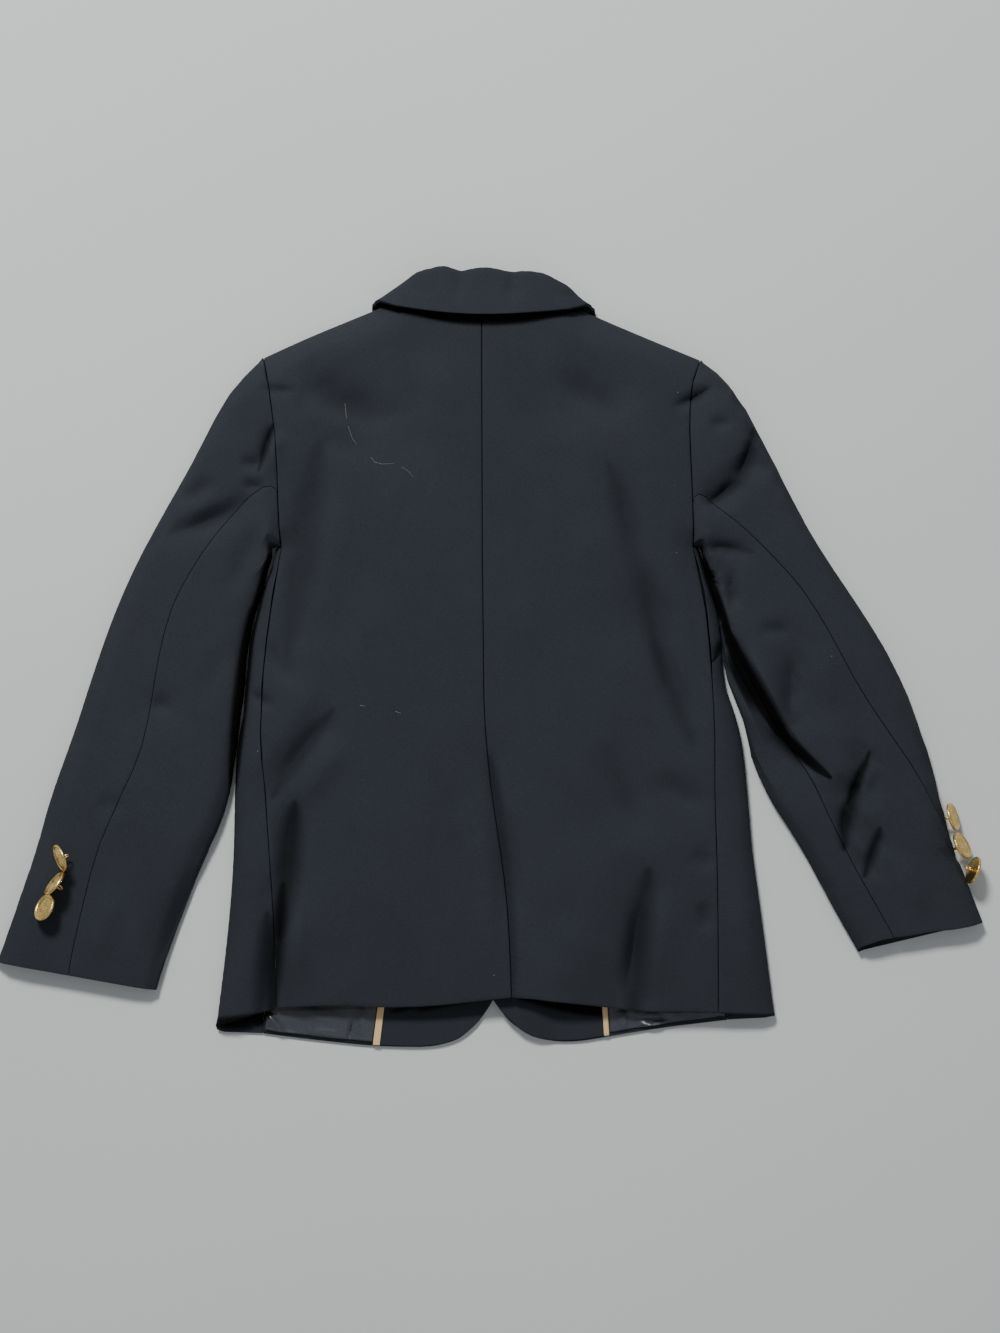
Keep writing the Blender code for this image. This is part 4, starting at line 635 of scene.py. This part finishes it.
def seam_strip(name, line, trees, half_width):
    """A flat strip that follows the walls' inner face along a line of the photo's pixels."""
    mesh = bmesh.new()
    rows = []
    z = START_HEIGHT
    for step in range(STRIP_STEPS + 1):
        place = step / STRIP_STEPS * (len(line) - 1)
        k = min(int(place), len(line) - 2)
        a, b = (Vector((*from_photo(*line[n]), 0.0)) * MM for n in (k, k + 1))
        middle = a.lerp(b, place - k)
        heights = [inner_height(trees, middle.x + side * half_width, middle.y) for side in (-1.0, -0.5, 0.5, 1.0)]
        known = [height for height in heights if height is not None]
        z = min(known) - STRIP_GAP if known else z
        row = []
        for side, drop in ((-1.0, 0.0), (1.0, 0.0), (1.0, STRIP_THICK), (-1.0, STRIP_THICK)):
            row.append(mesh.verts.new((middle.x + side * half_width, middle.y, z - drop)))
        rows.append(row)
    for low, high in zip(rows, rows[1:]):
        for n in range(4):
            mesh.faces.new((low[n], low[(n + 1) % 4], high[(n + 1) % 4], high[n]))
    mesh.faces.new(rows[0])
    mesh.faces.new(list(reversed(rows[-1])))
    return new_piece(name, mesh)


allowances = {
    "centre": seam_strip("centre_back_allowance", CENTRE_LINE, BACK_TREES, 7.0 * MM),
    "left": seam_strip("left_side_allowance", LEFT_LINE, SIDE_TREES[:2], 3.5 * MM),
    "right": seam_strip("right_side_allowance", RIGHT_LINE, SIDE_TREES[2:], 3.5 * MM),
}
print("allowances", len(allowances))

# %% [markdown]
# ## Buttons
# Each cuff button is a plated shell with a raised rim and a sunburst face, on a wire shank. They stand as
# in the photo. The two front buttons lie below the lapped fronts.

# %% Shape of a button
ButtonRow = namedtuple("ButtonRow", "node x y z look_x look_y tip shank")
BUTTONS = [
    ButtonRow("button_left_1", -263.2, -121.5, 23.0, -0.94, -0.34, 64.0, 4.2),
    ButtonRow("button_left_2", -266.6, -137.0, 23.0, -0.75, 0.66, 72.0, 4.2),
    ButtonRow("button_left_3", -273.1, -151.9, 21.2, -0.80, 0.55, 52.0, 4.2),
    ButtonRow("button_right_1", 286.3, -96.7, 12.0, 0.95, 0.30, 65.0, 4.2),
    ButtonRow("button_right_2", 291.9, -114.5, 12.2, 0.85, 0.52, 60.0, 4.2),
    ButtonRow("button_right_3", 299.1, -129.7, 10.8, 0.93, -0.36, 100.0, 4.2),
    ButtonRow("front_button_1", -0.2, -24.1, 1.85, 0.0, 1.0, 180.0, 2.3),
    ButtonRow("front_button_2", -0.2, -94.1, 1.85, 0.0, 1.0, 180.0, 1.3),
]
RING_PROFILE = [(0.0, 1.55), (1.2, 1.55), (2.2, 1.45), (3.4, 1.3), (4.6, 1.1), (5.6, 0.9), (6.4, 0.7), (6.9, 0.35),
                (7.2, 0.6), (7.6, 1.0), (8.1, 1.1), (8.5, 0.85), (8.75, 0.3), (8.75, -0.4), (8.4, -0.8),
                (7.6, -0.7), (5.0, -1.1), (2.6, -1.4), (0.0, -1.5)]
BUTTON_SIDES = 64
RAYS = 16
RAY_DEPTH = 0.16
FACE_EDGE = 6.6


def face_relief(radius, turn):
    """Raised rays round a small boss, with the stipple between them."""
    if radius > FACE_EDGE or radius < 1.0:
        return 0.0
    ray = math.cos(RAYS * turn) * RAY_DEPTH * math.sin(math.pi * (radius - 1.0) / (FACE_EDGE - 1.0))
    return ray + 0.12 * noise.noise(Vector((radius * 2.4, turn * 9.0, 1.0)))


def turned_body(mesh):
    rings = []
    for index, (radius, height) in enumerate(RING_PROFILE):
        if radius == 0.0:
            rings.append([mesh.verts.new((0.0, 0.0, height))])
            continue
        ring = []
        for k in range(BUTTON_SIDES):
            turn = math.tau * k / BUTTON_SIDES
            lift = face_relief(radius, turn) if index < 7 else 0.0
            ring.append(mesh.verts.new((radius * math.cos(turn), radius * math.sin(turn), height + lift)))
        rings.append(ring)
    for low, high in zip(rings, rings[1:]):
        for k in range(BUTTON_SIDES):
            n = (k + 1) % BUTTON_SIDES
            corners = [low[0]] if len(low) == 1 else [low[k], low[n]]
            corners += [high[0]] if len(high) == 1 else [high[n], high[k]]
            mesh.faces.new(corners)


def shank_loop(mesh, reach):
    """A wire loop on the back: an upright ring whose top is sunk in the back."""
    wide, wire, sides, steps = 1.7, 0.55, 8, 24
    tall = reach / 2 + 0.1
    rings = []
    for step in range(steps):
        turn = math.tau * step / steps
        centre = Vector((wide * math.cos(turn), 0.0, -1.3 - tall + tall * math.sin(turn)))
        out = Vector((math.cos(turn), 0.0, math.sin(turn)))
        ring = []
        for k in range(sides):
            around = math.tau * k / sides
            spot = centre + out * wire * math.cos(around) + Vector((0.0, wire * math.sin(around), 0.0))
            ring.append(mesh.verts.new(spot))
        rings.append(ring)
    for step in range(steps):
        low, high = rings[step], rings[(step + 1) % steps]
        for k in range(sides):
            mesh.faces.new((low[k], low[(k + 1) % sides], high[(k + 1) % sides], high[k]))


# %% Make the buttons
buttons = {}
for row in BUTTONS:
    mesh = bmesh.new()
    turned_body(mesh)
    shank_loop(mesh, row.shank)
    tip = math.radians(row.tip)
    look = Vector((row.look_x, row.look_y, 0.0)).normalized()
    face = look * math.sin(tip) + Vector((0, 0, math.cos(tip)))
    turn = Vector((0, 0, 1)).rotation_difference(face)
    for vert in mesh.verts:
        vert.co = (turn @ vert.co + Vector((row.x, row.y, row.z))) * MM
    buttons[row.node] = new_piece(row.node + "_plated", mesh)
    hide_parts(row.node)
print("buttons", len(buttons), "of", len(buttons["button_left_1"].data.polygons), "faces")

# %% [markdown]
# ## Lint
# A few pale hairs and flecks lie on the back, as in the photo.

# %% Hairs
Hair = namedtuple("Hair", "name points radius")
HAIRS = [
    Hair("hair_long", [(346, 405), (347.5, 418), (350, 430), (353.5, 440), (358, 447)], 0.07),
    Hair("hair_bent", [(372, 459), (376, 464), (383, 466), (395, 465.5)], 0.07),
    Hair("hair_short", [(402, 469), (407, 471.5), (411, 475), (415, 480)], 0.06),
    Hair("fleck_upper", [(361, 705), (366, 706)], 0.11),
    Hair("fleck_lower", [(396, 711), (402, 713)], 0.10),
]
HAIR_SIDES = 5


def hair_piece(row):
    mesh = bmesh.new()
    spots = []
    for px, py in row.points:
        x, y = from_photo(px, py)
        hit = BACK_TREES[0].ray_cast(Vector((x * MM, y * MM, 0.1)), Vector((0, 0, -1)))[0]
        spots.append(Vector((x, y, hit.z / MM + row.radius)))
    rings = []
    for k, spot in enumerate(spots):
        run = (spots[min(k + 1, len(spots) - 1)] - spots[max(k - 1, 0)]).normalized()
        side = run.cross(Vector((0, 0, 1))).normalized()
        up = side.cross(run)
        around = [math.tau * n / HAIR_SIDES for n in range(HAIR_SIDES)]
        wire = [(side * math.cos(a) + up * math.sin(a)) * row.radius for a in around]
        rings.append([mesh.verts.new((spot + off) * MM) for off in wire])
    for low, high in zip(rings, rings[1:]):
        for n in range(HAIR_SIDES):
            k = (n + 1) % HAIR_SIDES
            mesh.faces.new((low[n], low[k], high[k], high[n]))
    mesh.faces.new(rings[0])
    mesh.faces.new(list(reversed(rings[-1])))
    return new_piece(row.name, mesh)


hairs = [hair_piece(row) for row in HAIRS]
print("hairs", len(hairs))

# %% [markdown]
# ## Materials
# Colours are given as sRGB and turned linear. Each pattern's scale is its real size.


# %% Material helpers
def linear(code):
    """A colour such as #2E3137 as linear red, green, blue and full alpha."""
    parts = [int(code[k:k + 2], 16) / 255 for k in (1, 3, 5)]
    return tuple(p / 12.92 if p <= 0.04045 else ((p + 0.055) / 1.055) ** 2.4 for p in parts) + (1.0,)


def new_material(name):
    made = bpy.data.materials.new(name)
    made.use_nodes = True
    return made, made.node_tree, made.node_tree.nodes["Principled BSDF"]


def node(tree, kind, links=(), inputs=(), **settings):
    """Adds a node with its settings, its input values and the sockets that feed it."""
    made = tree.nodes.new(kind)
    for key, value in settings.items():
        setattr(made, key, value)
    for key, value in dict(inputs).items():
        made.inputs[key].default_value = value
    for key, source in dict(links).items():
        tree.links.new(source, made.inputs[key])
    return made


def ramp(tree, source, stops):
    made = node(tree, "ShaderNodeValToRGB", {"Fac": source})
    elements = made.color_ramp.elements
    while len(elements) < len(stops):
        elements.new(0.5)
    for element, (place, color) in zip(elements, stops):
        element.position = place
        element.color = color
    return made.outputs["Color"]


def in_hollows(tree, color):
    """Darkens a colour where cloth lies in the shadow of cloth."""
    gone = node(tree, "ShaderNodeAttribute", attribute_name="gone").outputs["Fac"]
    return node(tree, "ShaderNodeMix", {0: gone, 6: color}, {7: linear("#010102")}, data_type="RGBA").outputs[2]


# %% Worsted: a dark navy wool blend with a fine twill line, a little fuzz and lint
def worsted():
    made, tree, shader = new_material("navy_worsted_wool_blend")
    where = node(tree, "ShaderNodeTexCoord").outputs["Object"]
    turned = node(tree, "ShaderNodeMapping", {"Vector": where}, {"Rotation": (0, 0, math.radians(63))}).outputs[0]
    twill = node(tree, "ShaderNodeTexWave", {"Vector": turned},
                 {"Scale": 480.0, "Distortion": 1.6, "Detail": 1.0, "Detail Scale": 1.2}).outputs["Fac"]
    fuzz = node(tree, "ShaderNodeTexNoise", {"Vector": where},
                {"Scale": 900.0, "Detail": 3.0, "Roughness": 0.7}).outputs["Fac"]
    wear = node(tree, "ShaderNodeTexNoise", {"Vector": where},
                {"Scale": 22.0, "Detail": 4.0, "Roughness": 0.6}).outputs["Fac"]
    dark = ramp(tree, wear, [(0.30, linear("#292C32")), (0.72, linear("#2E3137"))])
    pale = ramp(tree, fuzz, [(0.35, linear("#262A2F")), (0.70, linear("#373A41"))])
    mixed = node(tree, "ShaderNodeMix", {6: dark, 7: pale}, {0: 0.35}, data_type="RGBA").outputs[2]
    lint = node(tree, "ShaderNodeTexVoronoi", {"Vector": where}, {"Scale": 62.0, "Randomness": 1.0})
    spot = node(tree, "ShaderNodeMath", {0: lint.outputs["Distance"]}, {1: 0.019}, operation="LESS_THAN").outputs[0]
    chosen = node(tree, "ShaderNodeSeparateColor", {0: lint.outputs["Color"]}).outputs[0]
    some = node(tree, "ShaderNodeMath", {0: chosen}, {1: 0.36}, operation="LESS_THAN").outputs[0]
    both = node(tree, "ShaderNodeMath", {0: spot, 1: some}, {}, operation="MULTIPLY").outputs[0]
    speck = node(tree, "ShaderNodeMath", {0: both}, {1: 0.55}, operation="MULTIPLY").outputs[0]
    color = node(tree, "ShaderNodeMix", {0: speck, 6: mixed}, {7: linear("#8E9092")}, data_type="RGBA").outputs[2]
    color = in_hollows(tree, color)
    tree.links.new(color, shader.inputs["Base Color"])
    shader.inputs["Roughness"].default_value = 0.88
    shader.inputs["Specular IOR Level"].default_value = 0.1
    raised = node(tree, "ShaderNodeMix", {2: twill, 3: fuzz}, {0: 0.6}, data_type="FLOAT").outputs[0]
    bump = node(tree, "ShaderNodeBump", {"Height": raised}, {"Strength": 0.35, "Distance": 0.00018})
    tree.links.new(bump.outputs[0], shader.inputs["Normal"])
    return made


# %% Lining, piping and button metal
def satin():
    """Acetate satin, pale grey-lilac."""
    made, tree, shader = new_material("grey_lilac_acetate_satin")
    where = node(tree, "ShaderNodeTexCoord").outputs["Object"]
    threads = node(tree, "ShaderNodeTexNoise", {"Vector": where}, {"Scale": 900.0, "Detail": 2.0}).outputs["Fac"]
    color = ramp(tree, threads, [(0.3, linear("#34363D")), (0.7, linear("#3E414A"))])
    color = in_hollows(tree, color)
    tree.links.new(color, shader.inputs["Base Color"])
    shader.inputs["Roughness"].default_value = 0.32
    bump = node(tree, "ShaderNodeBump", {"Height": threads}, {"Strength": 0.15, "Distance": 0.0001})
    tree.links.new(bump.outputs[0], shader.inputs["Normal"])
    return made


def gold_cord():
    """Gold satin piping."""
    made, tree, shader = new_material("gold_satin_piping")
    where = node(tree, "ShaderNodeTexCoord").outputs["Object"]
    turned = node(tree, "ShaderNodeMapping", {"Vector": where}, {"Rotation": (0, 0, math.radians(40))}).outputs[0]
    twist = node(tree, "ShaderNodeTexWave", {"Vector": turned}, {"Scale": 260.0, "Distortion": 1.0}).outputs["Fac"]
    color = ramp(tree, twist, [(0.2, linear("#C08A48")), (0.8, linear("#F6E2B4"))])
    tree.links.new(color, shader.inputs["Base Color"])
    shader.inputs["Roughness"].default_value = 0.42
    shader.inputs["Sheen Weight"].default_value = 0.2
    bump = node(tree, "ShaderNodeBump", {"Height": twist}, {"Strength": 0.4, "Distance": 0.0002})
    tree.links.new(bump.outputs[0], shader.inputs["Normal"])
    return made


def button_metal():
    """Gold-plated brass, stippled between the rays and darker in its hollows."""
    made, tree, shader = new_material("gold_plated_brass")
    where = node(tree, "ShaderNodeTexCoord").outputs["Object"]
    pits = node(tree, "ShaderNodeTexVoronoi", {"Vector": where}, {"Scale": 1700.0}).outputs["Distance"]
    color = ramp(tree, pits, [(0.08, linear("#8F6426")), (0.34, linear("#DDB35A")), (0.8, linear("#F8E0A0"))])
    tree.links.new(color, shader.inputs["Base Color"])
    shader.inputs["Metallic"].default_value = 1.0
    shader.inputs["Roughness"].default_value = 0.3
    bump = node(tree, "ShaderNodeBump", {"Height": pits}, {"Strength": 0.5, "Distance": 0.0002})
    tree.links.new(bump.outputs[0], shader.inputs["Normal"])
    return made


MATERIALS = {"navy_worsted": worsted(), "grey_satin_lining": satin(), "gold_piping": gold_cord(),
             "gold_plated_brass": button_metal()}


def hair_stuff():
    """Pale lint."""
    made, _, shader = new_material("pale_lint")
    shader.inputs["Base Color"].default_value = linear("#8C8C88")
    shader.inputs["Roughness"].default_value = 0.6
    return made


LINT = hair_stuff()
for row in CLOTH:
    cloth[row.node].data.materials.clear()
    cloth[row.node].data.materials.append(MATERIALS[row.slot])
for piece in allowances.values():
    piece.data.materials.append(MATERIALS["navy_worsted"])
for piece in buttons.values():
    piece.data.materials.append(MATERIALS["gold_plated_brass"])
for piece in hairs:
    piece.data.materials.append(LINT)
print("materials", sorted(MATERIALS))

# %% [markdown]
# ## Floor, light and camera
# The camera looks straight down. The light comes from beyond the collar, so shadows fall towards the hem.


# %% Floor
def floor():
    mesh = bmesh.new()
    bmesh.ops.create_grid(mesh, x_segments=2, y_segments=2, size=1.6)
    made = bpy.data.meshes.new("floor")
    mesh.to_mesh(made)
    mesh.free()
    paint, tree, shader = new_material("pale_grey_floor")
    where = node(tree, "ShaderNodeTexCoord").outputs["Object"]
    across = node(tree, "ShaderNodeTexNoise", {"Vector": where}, {"Scale": 1.2, "Detail": 2.0}).outputs["Fac"]
    color = ramp(tree, across, [(0.3, linear("#CACDCE")), (0.7, linear("#D0D3D2"))])
    tree.links.new(color, shader.inputs["Base Color"])
    shader.inputs["Roughness"].default_value = 0.75
    made.materials.append(paint)
    piece = bpy.data.objects.new("floor", made)
    piece.location.z = -0.0001
    bpy.context.scene.collection.objects.link(piece)


floor()


# %% Light and camera
def area_light(name, place, target, size, power, color):
    data = bpy.data.lights.new(name, "AREA")
    data.shape = "RECTANGLE"
    data.size, data.size_y = size
    data.energy = power
    data.color = color
    lamp = bpy.data.objects.new(name, data)
    lamp.location = place
    lamp.rotation_euler = (Vector(target) - Vector(place)).to_track_quat("-Z", "Y").to_euler()
    bpy.context.scene.collection.objects.link(lamp)


area_light("window", (-0.55, 1.5, 1.75), (0, 0, 0), (0.5, 0.4), 58.0, (1.0, 1.0, 0.98))
area_light("fill", (0.5, -1.2, 2.2), (0, 0, 0), (2.4, 1.6), 4.0, (0.95, 0.97, 1.0))
world = bpy.data.worlds.new("room")
world.use_nodes = True
world.node_tree.nodes["Background"].inputs["Color"].default_value = (0.93, 0.96, 1.0, 1.0)
world.node_tree.nodes["Background"].inputs["Strength"].default_value = 0.32
bpy.context.scene.world = world

CAMERA_HEIGHT = 1.6
CAMERA_PLANE = 0.006
PHOTO_WIDTH = 1000
PHOTO_HEIGHT = 1333
camera_data = bpy.data.cameras.new("camera")
camera_data.sensor_fit = "HORIZONTAL"
camera_data.sensor_width = 36.0
camera_data.lens = 36.0 * (CAMERA_HEIGHT - CAMERA_PLANE) / (PHOTO_WIDTH * PIXEL * MM)
camera = bpy.data.objects.new("camera", camera_data)
centre_x, centre_y = from_photo(PHOTO_WIDTH / 2, PHOTO_HEIGHT / 2)
camera.location = (centre_x * MM, centre_y * MM, CAMERA_HEIGHT)
bpy.context.scene.collection.objects.link(camera)
bpy.context.scene.camera = camera
print("camera", tuple(round(v, 4) for v in camera.location), "lens", round(camera_data.lens, 1))

# %% [markdown]
# ## Sheet rows
# The row type for a panel as a sheet laid flat: its node, the width, length and area of the cut that shows, and
# what it rests on.

# %% Sheets
SheetRow = namedtuple("SheetRow", "node width length area rests_on")
